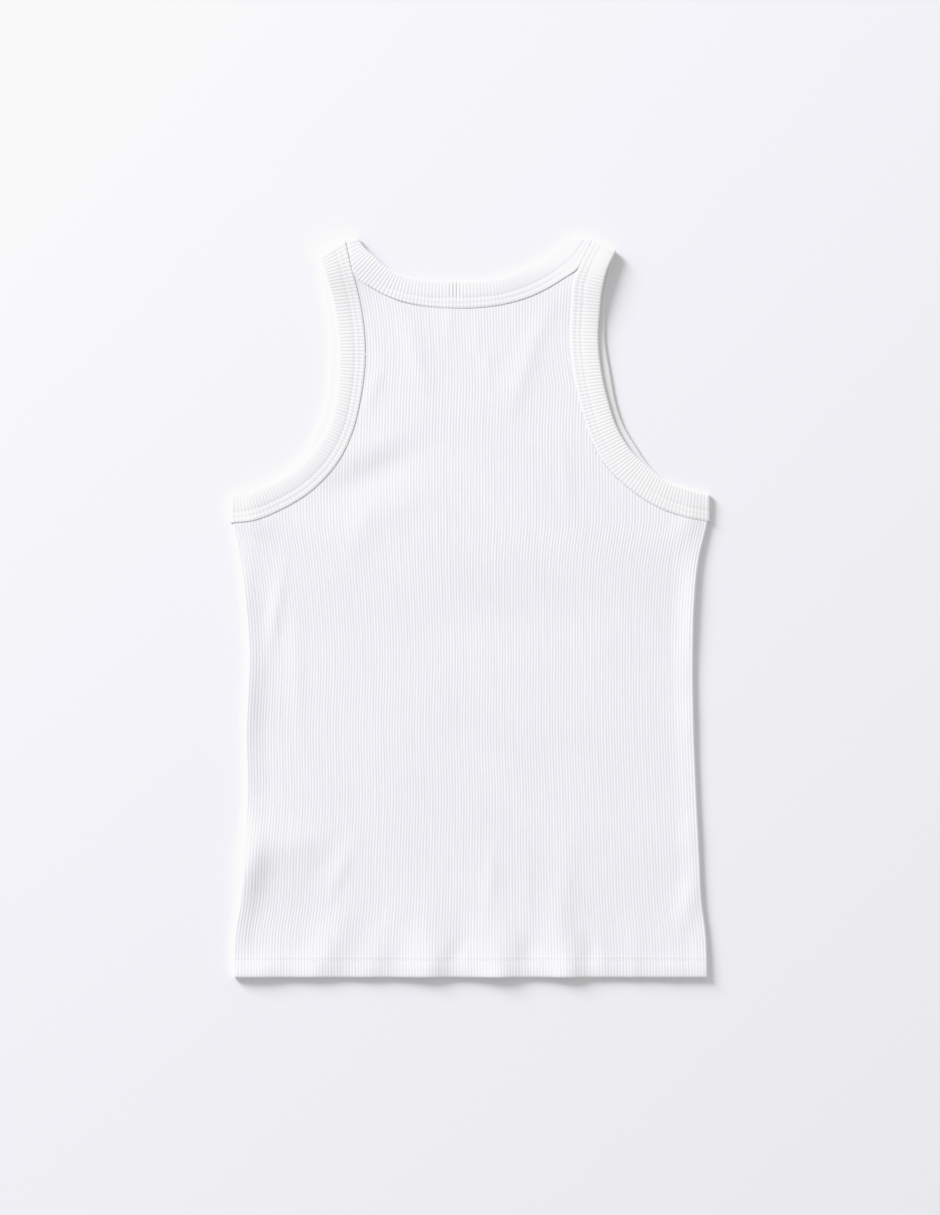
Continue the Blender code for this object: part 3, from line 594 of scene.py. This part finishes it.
def panel_layers(cloth, panel, ends, places, surface, rows, inner_rows):
    """Rails of a panel's ribbed outside and plain inside. surface gives points at (rib, heights)."""
    outer, inner = [], []
    needed = {0.0, panel.left_rib, panel.right_rib, float(panel.ribs)}
    needed |= {places[np.searchsorted(places, panel.left_rib) - 1],
               places[np.searchsorted(places, panel.right_rib) + 1]}
    last = 0.0
    for rib, top in zip(places, ends):
        heights = np.append(rows[rows < top - SHORTEST_STEP], top)
        outer.append((rib, cloth.rail(heights.tolist(), surface(rib, heights, True), rib)))
        if rib in needed or rib - last >= INNER_RIBS:
            heights = np.append(inner_rows[inner_rows < top - SHORTEST_STEP], top)
            inner.append((rib, cloth.rail(heights.tolist(), surface(rib, heights, False), rib)))
            last = rib
    return outer, inner


def lace_panel(cloth, panel, outer, inner):
    for layer in (outer, inner):
        for (_, a), (_, b) in zip(layer, layer[1:]):
            cloth.lace(cut_to(a, b[-1][0]), cut_to(b, a[-1][0]))
    cloth.lace(*[[(rib, rail[0][1]) for rib, rail in layer] for layer in (outer, inner)])
    cloth.lace(edge_chain(outer, panel), edge_chain(inner, panel))


def waves(rows, start, rib, heights):
    """A value that varies about its start along a rib, in a way of its own for each rib."""
    for row in rows:
        start = start + row.amount * np.sin(heights / row.length + rib * row.turn)
    return start


def make_back(material):
    cloth = Cloth()
    places = column_ribs(BACK.ribs)
    ends = column_ends(BACK, top_edge(LEFT_ARMHOLE, BACK_NECK, RIGHT_ARMHOLE), places)

    def surface(rib, heights, outside):
        x = between(rib_lines(BACK, heights), rib / BACK.ribs)
        z = rest_height(x, heights)
        if outside:
            stray = waves(STRAY_WAVES, 0.0, math.floor(rib), heights)
            swell = waves(SWELL_WAVES, 1.0, math.floor(rib), heights)
            inside = 0 < rib < BACK.ribs and rib not in (BACK.left_rib, BACK.right_rib)
            x = x + stray * inside - SEAM_GAP / 2 * (rib == 0) + SEAM_GAP / 2 * (rib == BACK.ribs)
            z = z + WALL + hem_relief(heights) + RIB_RELIEF * swell * rib_profile(rib % 1)
        return np.stack([x, heights, z], axis=1).tolist()

    rows = np.array(body_rows())
    inner_rows = np.concatenate([LOW_INNER_ROWS, rows[len(HEM_ROWS) - 1::INNER_ROWS]])
    outer, inner = panel_layers(cloth, BACK, ends, places, surface, rows, inner_rows)
    lace_panel(cloth, BACK, outer, inner)
    for side in (0, -1):
        cloth.lace(outer[side][1], inner[side][1])
    return make_piece("back_panel", cloth, material, PANEL_SHARP_ANGLE)


# ---------------------------------------------------------------- front

def fold_radius(side, height):
    edge = side_edges(height)[side]
    inward = 1 if side == 0 else -1
    inside = rest_height(edge + inward * (FOLD_REST + WALL) / 2, height)
    return edge, (inside + WALL) / 2


def ground_lines(height):
    (left, left_radius), (right, right_radius) = fold_radius(0, height), fold_radius(1, height)
    return left + left_radius, right - right_radius


FRONT = Panel(FRONT_RIBS, *FRONT_STRAP_RIBS, by_height(body_edge(shifted(LEFT_ARMHOLE))),
              by_height(body_edge(shifted(RIGHT_ARMHOLE))), ground_lines, ())


def wrap_rails(cloth, side, edge_by_x):
    """Rails of the front from the side seam on top, round the fold and down to the ground."""
    outward = -1 if side == 0 else 1

    def point(arc, heights, thickness):
        edge, radius = fold_radius(side, heights)
        middle = edge - outward * radius
        seam = side_seams(heights)[side] + outward * SEAM_GAP / 2
        flat = np.abs(middle - seam)
        turn = np.clip((arc * (flat + math.pi * radius) - flat) / radius, 0, math.pi)
        on_top = arc * (flat + math.pi * radius) < flat
        reach = radius - WALL + thickness
        x_flat = between((seam, middle), np.clip(arc * (flat + math.pi * radius) / flat, 0, 1))
        x = np.where(on_top, x_flat, middle + outward * reach * np.sin(turn))
        z = np.where(on_top, rest_height(x_flat, heights) + thickness,
                     np.maximum(radius + reach * np.cos(turn), 0.0))
        return x, z

    edge, radius = fold_radius(side, 0.0)
    inset = (LEFT_SEAM_INSET, RIGHT_SEAM_INSET)[side] - SEAM_GAP - radius
    pitch = (side_seams(0.0)[1] - side_seams(0.0)[0]) / BODY_RIBS
    ribs = max(2, round(float(inset + math.pi * radius) / pitch))
    rows = np.array(body_rows())
    underarm = np.float64(SIDES[-1].height)
    layers = []
    for outside, places in ((True, column_ribs(ribs)), (False, np.linspace(0, ribs, 3 * ribs + 1))):
        rails = []
        for rib in places:
            arc = rib / ribs
            top = float(interpolate(edge_by_x, abs(point(arc, underarm, 0.0)[0])))
            heights = rows[rows < top - SHORTEST_STEP]
            heights = np.append(heights if outside else heights[::INNER_ROWS], top)
            thickness = 0.0
            if outside:
                swell = waves(SWELL_WAVES, 1.0, rib // 1 + OTHER_SIDE * side, heights)
                down = np.clip((arc - 0.5) * 2, 0, 1)
                thickness = WALL + (hem_relief(heights) + RIB_RELIEF * swell * rib_profile(rib % 1)) \
                    * (1 - down) + down * GROUND_RELIEF * (rib_profile(rib % 1) - 1)
            x, z = point(arc, heights, thickness)
            points = np.stack([x, heights, z], axis=1).tolist()
            rails.append((float(rib), cloth.rail(heights.tolist(), points, float(rib))))
        layers.append(rails)
    return layers


def make_front(material):
    cloth = Cloth()
    wraps = []
    for side, stations in ((0, LEFT_ARMHOLE), (1, RIGHT_ARMHOLE)):
        edge = body_edge(stations)
        edge = edge[np.abs(edge[:, 0]) > UNDERARM_FROM]
        edge_by_x = np.stack([np.abs(edge[:, 0]), edge[:, 1]], axis=1)
        edge_by_x = edge_by_x[np.argsort(edge_by_x[:, 0])]
        outer, inner = wrap_rails(cloth, side, edge_by_x)
        for layer in (outer, inner):
            for (_, a), (_, b) in zip(layer, layer[1:]):
                cloth.lace(a, b)
        for end in (0, -1):
            cloth.lace([(rib, rail[end][1]) for rib, rail in outer],
                       [(rib, rail[end][1]) for rib, rail in inner])
        cloth.lace(outer[0][1], inner[0][1])
        wraps.append((outer[-1][1], inner[-1][1]))

    places = column_ribs(FRONT.ribs)
    edge = top_edge(shifted(LEFT_ARMHOLE), front_neck(), shifted(RIGHT_ARMHOLE))
    ends_x = [cloth.points[wrap[0][-1][1]][0] for wrap in wraps]
    edge = [p for p in edge if ends_x[0] + END_MARGIN < p[0] < ends_x[1] - END_MARGIN]
    edge = [tuple(cloth.points[wraps[0][0][-1][1]][:2])] + edge
    edge += [tuple(cloth.points[wraps[1][0][-1][1]][:2])]
    ends = column_ends(FRONT, edge, places)
    ends[0], ends[-1] = edge[0][1], edge[-1][1]

    def surface(rib, heights, outside):
        x = between(rib_lines(FRONT, heights), rib / FRONT.ribs)
        z = np.full(len(heights), WALL)
        if outside:
            z = GROUND_RELIEF * (1 - rib_profile(rib % 1)) + hem_mark(GROUND_FURROW, heights)
        return np.stack([x, heights, z], axis=1).tolist()

    rows = np.array(body_rows())
    rows = np.concatenate([rows[:len(HEM_ROWS)], rows[len(HEM_ROWS)::2]])
    outer, inner = panel_layers(cloth, FRONT, ends[1:-1], places[1:-1], surface, rows,
                                rows[::INNER_ROWS])
    outer = [(0.0, wraps[0][0])] + outer + [(float(FRONT.ribs), wraps[1][0])]
    inner = [(0.0, wraps[0][1])] + inner + [(float(FRONT.ribs), wraps[1][1])]
    lace_panel(cloth, FRONT, outer, inner)
    return make_piece("front_panel", cloth, material, PANEL_SHARP_ANGLE)


# ---------------------------------------------------------------- bindings

Ring = namedtuple("Ring", "seam rim normal flat ribs relief")


def rib_shares(length):
    ribs = max(1, round(length / BINDING_RIB_PITCH))
    return column_ribs(ribs) / ribs, column_ribs(ribs)


def stretch(stations, level, normal, flat, beside=None):
    _, length = stations_along(stations, [0.0])
    shares, ribs = rib_shares(length)
    rows, _ = stations_along(stations, shares)
    if beside:
        rows = beside_armholes(rows, *beside)
    seam = np.column_stack([rows[:, 0], rows[:, 1], level(rows[:, 0], rows[:, 1])])
    rim = np.column_stack([rows[:, 2], rows[:, 3], level(rows[:, 2], rows[:, 3])])
    n = len(rows)
    smooth = SMOOTH_SHARE * ease((rows[:, 1] - SMOOTH_FROM) / SMOOTH_WITHIN) * (rows[:, 0] > 0)
    relief = between((rib_profile(ribs % 1, BINDING_RIB_ROUNDNESS), 0.5), smooth)
    return Ring(seam, rim, np.tile(np.array(normal, float), (n, 1)), np.full(n, float(flat)), ribs,
                relief)


def fold(ring, last, before, downward):
    """Sections round the fold at a stretch's end, from the upper layer down, or back up."""
    seam, rim = ring.seam[last], ring.rim[last]
    across = rim[:2] - seam[:2]
    out = np.array([-across[1], across[0]]) / np.hypot(*across)
    if out @ (seam[:2] - ring.seam[before][:2]) < 0:
        out = -out
    steps = np.pi * np.arange(1, FOLD_STEPS) / FOLD_STEPS
    turns = steps if downward else np.pi - steps
    ends = []
    for end in (seam, rim):
        radius = (end[2] - BINDING_THICKNESS) / 2
        reach = min(radius, SHOULDER_REACH)
        ends.append(np.column_stack([end[0] + out[0] * reach * np.sin(turns),
                                     end[1] + out[1] * reach * np.sin(turns),
                                     BINDING_THICKNESS + radius * (1 + np.cos(turns))]))
    normal = np.column_stack([out[0] * np.sin(turns), out[1] * np.sin(turns), np.cos(turns)])
    return Ring(ends[0], ends[1], normal, (1 - np.cos(turns)) / 2,
                np.linspace(0, 2, FOLD_STEPS + 1)[1:-1], np.full(FOLD_STEPS - 1, FOLD_RIB_RELIEF))


def ring_points(ring, across, beyond, height, ribbed=0.0, neck=False):
    """Points round a binding at one place of its section."""
    out = ring.rim - ring.seam
    width = np.linalg.norm(out, axis=1)
    unit = out / width[:, None]
    share, beyond = np.full(len(width), float(across)), np.full(len(width), float(beyond))
    if neck:
        hidden = np.where(ring.seam[:, 0] < NECK_MIDDLE, np.maximum(NECK_WIDTH / width, 1.0), 1.0)
        share = np.maximum(1 - (1 - across) * hidden, 0.0)
        beyond = beyond * NECK_OVERHANG * (hidden < NARROWED)
        for tip in STRAP_TIPS:
            near = np.hypot(ring.seam[:, 0] - tip.x, ring.seam[:, 1] - tip.h) / TIP_REACH
            beyond = beyond * (1 + TIP_SHARE * np.exp(-near ** 2) * (ring.flat < 0.5))
    tallest = max(rail.height for rail in BINDING_SECTION) + BINDING_RIB_RELIEF / 2
    scale = between((1.0, BINDING_THICKNESS / tallest), ring.flat)
    base = ring.seam + out * share[:, None] + unit * beyond[:, None]
    relief = BINDING_RIB_RELIEF * ribbed * (ring.relief - 0.5)
    x, h = ring.seam[:, 0], ring.seam[:, 1]
    if height > EDGE_OVER and across < EDGE_WITHIN:
        drop = UNDERARM_DROP * ease((UNDERARM_HEIGHT - h) / UNDERARM_FADE) * (x > 0)
        if neck:
            drop = between(NECK_SEAM_DROPS, ease((x - NECK_DROPS_FROM) / NECK_DROPS_OVER))
        relief = relief - drop * (ring.flat < 0.5)
    if neck:
        relief = relief * interpolate(NECK_RIBS, x)
        scale = scale * (1 - TUCK_SHARE * np.exp(-((x - TUCK.x) ** 2 + (h - TUCK.h) ** 2)
                                                 / TUCK_REACH ** 2))
        bunched = np.exp(-((base[:, 0] - JOIN_X) / JOIN_WIDTH) ** 4) * (ring.flat < 0.5)
        bunched = bunched * (across > STITCH_ROWS[-1])
        relief = relief - bunched * ribbed * JOIN_DEPTH * (1 - ring.relief)
    return base + ring.normal * np.maximum((height + relief) * scale, 0.0)[:, None]


def binding_ring(back, front, beside_back=None, beside_front=None):
    upper = stretch(back, rest_height, (0, 0, 1), 0, beside_back)
    lower = stretch(front, lambda x, h: np.full(np.shape(x), BINDING_THICKNESS), (0, 0, -1), 1,
                    beside_front)
    lower = Ring(*[values[1:-1] for values in lower])
    parts = [upper, fold(upper, -1, -2, True), lower, fold(upper, 0, 1, False)]
    joined, start = [], 0.0
    for part in parts:
        joined.append(part._replace(ribs=part.ribs + start))
        start = math.ceil(joined[-1].ribs[-1])
    return Ring(*[np.concatenate(values) for values in zip(*joined)])


def make_binding(name, ring, material, neck=False):
    cloth = Cloth()
    rails = [ring_points(ring, *row, neck=neck) for row in BINDING_SECTION]
    widths = np.linalg.norm(ring.rim - ring.seam, axis=1)
    knit = [np.column_stack([ring.ribs, widths * row.across / COURSE]) for row in BINDING_SECTION]
    cloth.grid(np.stack(rails, axis=1), np.stack(knit, axis=1))
    return make_piece(name, cloth, material)


# ---------------------------------------------------------------- stitches

def thread_run(cloth, path, normals, closed):
    """Stitches along a path: short rounded lengths of thread, each sunk at its ends."""
    if closed:
        path, normals = np.vstack([path, path[:1]]), np.vstack([normals, normals[:1]])
    along = np.concatenate([[0.0], np.cumsum(np.linalg.norm(np.diff(path, axis=0), axis=1))])
    count = int(along[-1] / STITCH_PITCH)
    sides = THREAD_SIDES
    angles = 2 * np.pi * np.arange(sides) / sides
    beads = Bead(*np.array(STITCH_BEADS).T)
    for k in range(count):
        start = along[-1] * k / count
        stops = start + STITCH_LENGTH * beads.along
        middle = np.column_stack([np.interp(stops, along, path[:, i]) for i in range(3)])
        up = np.array([np.interp(start, along, normals[:, i]) for i in range(3)])
        up /= np.linalg.norm(up)
        way = middle[-1] - middle[0]
        way /= np.linalg.norm(way)
        side = np.cross(up, way)
        side /= np.linalg.norm(side)
        radii = THREAD_RADIUS * beads.radius
        rings = [m - up * s + r * (np.outer(np.cos(angles), side) + np.outer(np.sin(angles), up))
                 for m, s, r in zip(middle, beads.sunk, radii)]
        first = len(cloth.points)
        cloth.points += [tuple(p) for ring in rings for p in ring]
        last = len(STITCH_BEADS) - 1
        cloth.knit += [(i / sides, j / 2) for j in range(last + 1) for i in range(sides)]
        for j in range(last):
            for i in range(sides):
                a, b = first + j * sides + i, first + j * sides + (i + 1) % sides
                cloth.faces.append([a, b, b + sides, a + sides])
        cloth.faces.append([first + i for i in range(sides)][::-1])
        cloth.faces.append([first + last * sides + i for i in range(sides)])


def make_binding_stitches(name, ring, material, neck=False):
    cloth = Cloth()
    for across, height in zip(STITCH_ROWS, ROW_HEIGHTS):
        thread_run(cloth, ring_points(ring, across, 0.0, height, neck=neck), ring.normal, True)
    return make_piece(name, cloth, material)


def make_hem_stitches(name, material):
    cloth = Cloth()
    left, right = side_seams(HEM_STITCH_HEIGHT)
    x = np.linspace(left + END_MARGIN, right - END_MARGIN, HEM_PATH_POINTS)
    h = np.full(len(x), HEM_STITCH_HEIGHT)
    z = rest_height(x, h) + WALL + HEM_STITCH_LIFT
    thread_run(cloth, np.column_stack([x, h, z]), np.tile([0.0, 0, 1], (len(x), 1)), False)
    left, right = ground_lines(HEM_STITCH_HEIGHT)
    x = np.linspace(left, right, HEM_PATH_POINTS)
    thread_run(cloth, np.column_stack([x, h, np.full(len(x), GROUND_STITCH_HEIGHT)]),
               np.tile([0.0, 0, -1], (len(x), 1)), False)
    return make_piece(name, cloth, material)


# ---------------------------------------------------------------- materials

BODY_TINT, BODY_SHADE = (0.864, 0.858, 0.894, 1), (0.79, 0.784, 0.819, 1)
NECK_TINT, NECK_SHADE = (0.872, 0.871, 0.896, 1), (0.816, 0.815, 0.838, 1)
ARMHOLE_TINT, ARMHOLE_SHADE = (0.866, 0.867, 0.876, 1), (0.806, 0.807, 0.816, 1)
THREAD_TINT, THREAD_SHADE = (0.90, 0.90, 0.91, 1), (0.84, 0.84, 0.85, 1)
FLOOR_COLOUR = (0.855, 0.853, 0.888, 1)
BODY_BUMP, BINDING_BUMP, THREAD_BUMP, BUMP_STRENGTH = 0.00025, 0.00022, 0.0001, 0.09   # metres
CHEVRON_LEAN = 1.6                  # of a stitch's legs, in rows for each rib
Noise = namedtuple("Noise", "scale detail rough")
FIBRES, MOTTLE, PATCHES = Noise(2600.0, 3.0, 0.7), Noise(160.0, 4.0, 0.6), Noise(14.0, 2.0, 0.5)
YARN_SCALE, YARN_ALONG = 1.7, 0.035
# Shares in the bump's height, then in the tone between shade and tint; the furrows' share is painted
# shade
LEGS_HEIGHT, FIBRES_HEIGHT = 0.7, 0.5
MOTTLE_TONE, PATCHES_TONE, YARN_TONE, FURROW_PAINTED_SHADE, LEGS_TONE = 0.2, 0.5, 0.45, 0.2, 0.08
SHADE_AT, TINT_AT = 0.15, 0.75
ROUGHNESS, FIBRES_ROUGHNESS = 0.8, 0.16
CLOTH_SPECULAR, SHEEN, SHEEN_ROUGHNESS = 0.15, 0.06, 0.55
FLOOR_ROUGHNESS, FLOOR_SPECULAR = 0.9, 0.1


def knit_material(name, tint, shade, relief):
    """White cotton rib: rows of V-shaped stitches on each rib, fibres, a faint mottle and painted
    shade in the furrows.
    """
    material = bpy.data.materials.new(name)
    material.use_nodes = True
    tree = material.node_tree
    shader = tree.nodes["Principled BSDF"]

    def node(kind, **values):
        made = tree.nodes.new(kind)
        for key, value in values.items():
            setattr(made, key, value)
        return made

    def math_node(operation, a, b=None):
        made = node("ShaderNodeMath", operation=operation)
        for socket, value in zip(made.inputs, (a, b)):
            if value is None:
                continue
            if isinstance(value, (int, float)):
                socket.default_value = value
            else:
                tree.links.new(value, socket)
        return made.outputs[0]

    knit = node("ShaderNodeUVMap", uv_map="knit")
    split = node("ShaderNodeSeparateXYZ")
    tree.links.new(knit.outputs["UV"], split.inputs[0])
    rib, course = split.outputs["X"], split.outputs["Y"]
    off_crest = math_node("ABSOLUTE", math_node("SUBTRACT", math_node("FRACT", rib), 0.5))
    chevron = math_node("ADD", course, math_node("MULTIPLY", off_crest, CHEVRON_LEAN))
    legs = math_node("SINE", math_node("MULTIPLY", chevron, 2 * math.pi))
    legs = math_node("MULTIPLY", math_node("ADD", legs, 1.0), 0.5)

    place = node("ShaderNodeTexCoord").outputs["Object"]

    def noise(grain):
        made = node("ShaderNodeTexNoise")
        made.inputs["Scale"].default_value = grain.scale
        made.inputs["Detail"].default_value = grain.detail
        made.inputs["Roughness"].default_value = grain.rough
        tree.links.new(place, made.inputs["Vector"])
        return made.outputs["Fac"]

    fibres, mottle, patches = noise(FIBRES), noise(MOTTLE), noise(PATCHES)
    along = node("ShaderNodeMapping")
    along.inputs["Scale"].default_value = (1.0, YARN_ALONG, 1.0)
    tree.links.new(knit.outputs["UV"], along.inputs["Vector"])
    yarn = node("ShaderNodeTexNoise")
    yarn.inputs["Scale"].default_value = YARN_SCALE
    tree.links.new(along.outputs["Vector"], yarn.inputs["Vector"])

    height = math_node("ADD", math_node("MULTIPLY", legs, LEGS_HEIGHT),
                       math_node("MULTIPLY", fibres, FIBRES_HEIGHT))
    bump = node("ShaderNodeBump")
    bump.inputs["Strength"].default_value = BUMP_STRENGTH
    bump.inputs["Distance"].default_value = relief
    tree.links.new(height, bump.inputs["Height"])
    tree.links.new(bump.outputs["Normal"], shader.inputs["Normal"])

    tone = math_node("ADD", math_node("MULTIPLY", mottle, MOTTLE_TONE),
                     math_node("MULTIPLY", patches, PATCHES_TONE))
    tone = math_node("ADD", tone, math_node("MULTIPLY", yarn.outputs["Fac"], YARN_TONE))
    # painted shade: the base colour darkens off the ribs' crests, towards the furrows
    tone = math_node("SUBTRACT", tone, math_node("MULTIPLY", off_crest, FURROW_PAINTED_SHADE))
    tone = math_node("ADD", tone, math_node("MULTIPLY", legs, LEGS_TONE))
    ramp = node("ShaderNodeValToRGB")
    for stop, position, colour in zip(ramp.color_ramp.elements, (SHADE_AT, TINT_AT), (shade, tint)):
        stop.position, stop.color = position, colour
    tree.links.new(tone, ramp.inputs["Fac"])
    tree.links.new(ramp.outputs["Color"], shader.inputs["Base Color"])

    rough = math_node("ADD", math_node("MULTIPLY", fibres, FIBRES_ROUGHNESS), ROUGHNESS)
    tree.links.new(rough, shader.inputs["Roughness"])
    shader.inputs["Specular IOR Level"].default_value = CLOTH_SPECULAR
    shader.inputs["Sheen Weight"].default_value = SHEEN
    shader.inputs["Sheen Roughness"].default_value = SHEEN_ROUGHNESS
    return material


def floor_material():
    material = bpy.data.materials.new("pale_floor")
    material.use_nodes = True
    shader = material.node_tree.nodes["Principled BSDF"]
    shader.inputs["Base Color"].default_value = FLOOR_COLOUR
    shader.inputs["Roughness"].default_value = FLOOR_ROUGHNESS
    shader.inputs["Specular IOR Level"].default_value = FLOOR_SPECULAR
    return material


# ---------------------------------------------------------------- pieces

body_knit = knit_material("white_rib_knit", BODY_TINT, BODY_SHADE, BODY_BUMP)
neck_knit = knit_material("white_rib_neck_binding", NECK_TINT, NECK_SHADE, BINDING_BUMP)
armhole_knit = knit_material("white_rib_armhole_binding", ARMHOLE_TINT, ARMHOLE_SHADE, BINDING_BUMP)
thread = knit_material("white_thread", THREAD_TINT, THREAD_SHADE, THREAD_BUMP)

back_panel = make_back(body_knit)
front_panel = make_front(body_knit)
left_ring = binding_ring(LEFT_ARMHOLE, shifted(LEFT_ARMHOLE)[::-1])
right_ring = binding_ring(RIGHT_ARMHOLE, shifted(RIGHT_ARMHOLE)[::-1])
neck_ring = binding_ring(BACK_NECK, front_neck()[::-1], (BACK.left_edge, BACK.right_edge),
                         (FRONT.left_edge, FRONT.right_edge))
left_band = make_binding("left_armhole_band", left_ring, armhole_knit)
right_band = make_binding("right_armhole_band", right_ring, armhole_knit)
neck_band = make_binding("neck_band", neck_ring, neck_knit, neck=True)
left_stitches = make_binding_stitches("left_armhole_stitches", left_ring, thread)
right_stitches = make_binding_stitches("right_armhole_stitches", right_ring, thread)
neck_stitches = make_binding_stitches("neck_stitches", neck_ring, thread, neck=True)
hem_stitches = make_hem_stitches("hem_stitches", thread)

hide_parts("back")
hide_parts("front")
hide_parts("armhole_binding_left")
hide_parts("armhole_binding_right")
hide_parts("neck_binding")

# ---------------------------------------------------------------- floor, light and camera

FLOOR_HALF = 6.0          # metres, as all sizes of the stage
corners = ((-1, -1), (1, -1), (1, 1), (-1, 1))
floor_mesh = bpy.data.meshes.new("floor")
floor_mesh.from_pydata([(x * FLOOR_HALF, y * FLOOR_HALF, 0.0) for x, y in corners], [], [[0, 1, 2, 3]])
floor_mesh.materials.append(floor_material())
floor = bpy.data.objects.new("floor", floor_mesh)
bpy.context.scene.collection.objects.link(floor)

KEY_DISTANCE, KEY_SIZE, KEY_POWER = 9.5, 3.8, 1325.0
KEY_AZIMUTH, KEY_ELEVATION = math.radians(135), math.radians(20)
KEY_COLOUR, SKY_COLOUR, SKY_STRENGTH = (0.955, 0.965, 1.02), (1.0, 0.982, 0.955, 1), 0.565
key_data = bpy.data.lights.new("key", "AREA")
key_data.shape = "DISK"
key_data.size = KEY_SIZE
key_data.energy = KEY_POWER
key_data.color = KEY_COLOUR
key = bpy.data.objects.new("key", key_data)
key.location = (KEY_DISTANCE * math.cos(KEY_ELEVATION) * math.cos(KEY_AZIMUTH),
                KEY_DISTANCE * math.cos(KEY_ELEVATION) * math.sin(KEY_AZIMUTH),
                KEY_DISTANCE * math.sin(KEY_ELEVATION))
key.rotation_euler = (math.pi / 2 - KEY_ELEVATION, 0, KEY_AZIMUTH + math.pi / 2)
bpy.context.scene.collection.objects.link(key)

world = bpy.data.worlds.new("studio")
world.use_nodes = True
sky = world.node_tree.nodes["Background"]
sky.inputs["Color"].default_value = SKY_COLOUR
sky.inputs["Strength"].default_value = SKY_STRENGTH
bpy.context.scene.world = world

# The camera's response: straight up to the first level, then a soft shoulder that keeps the lit
# rims below white
Response = namedtuple("Response", "light level")
SHOULDER = (Response(0.95, 0.95), Response(1.05, 0.964), Response(1.25, 0.974))
BRIGHTEST = Response(1.8, 0.985)
view = bpy.context.scene.view_settings
view.view_transform = "Standard"
view.use_curve_mapping = True
view.curve_mapping.white_level = (BRIGHTEST.light,) * 3
response = view.curve_mapping.curves[3]          # all three colours together
response.points[0].location = (0.0, 0.0)
response.points[1].location = (1.0, BRIGHTEST.level)
for step in SHOULDER:
    response.points.new(step.light / BRIGHTEST.light, step.level)
for point in response.points:
    point.handle_type = "VECTOR"
view.curve_mapping.update()

MM_PER_PIXEL, IMAGE_WIDTH, IMAGE_HEIGHT = 0.872, 940, 1215
HEM_PIXEL, MIDDLE_PIXEL = 977.3, 470.05      # image row of the hem, image column of the middle
CAMERA_HEIGHT, SEEN_PLANE, SENSOR = 2.2, 0.004, 24.0
camera_data = bpy.data.cameras.new("camera")
camera_data.sensor_fit = "VERTICAL"
camera_data.sensor_height = SENSOR
camera_data.lens = SENSOR * (CAMERA_HEIGHT - SEEN_PLANE) / (IMAGE_HEIGHT * MM_PER_PIXEL * MM)
camera = bpy.data.objects.new("camera", camera_data)
camera.location = ((IMAGE_WIDTH / 2 - MIDDLE_PIXEL) * MM_PER_PIXEL * MM,
                   ((HEM_PIXEL - IMAGE_HEIGHT / 2) * MM_PER_PIXEL - LENGTH / 2) * MM,
                   CAMERA_HEIGHT)
bpy.context.scene.collection.objects.link(camera)
bpy.context.scene.camera = camera
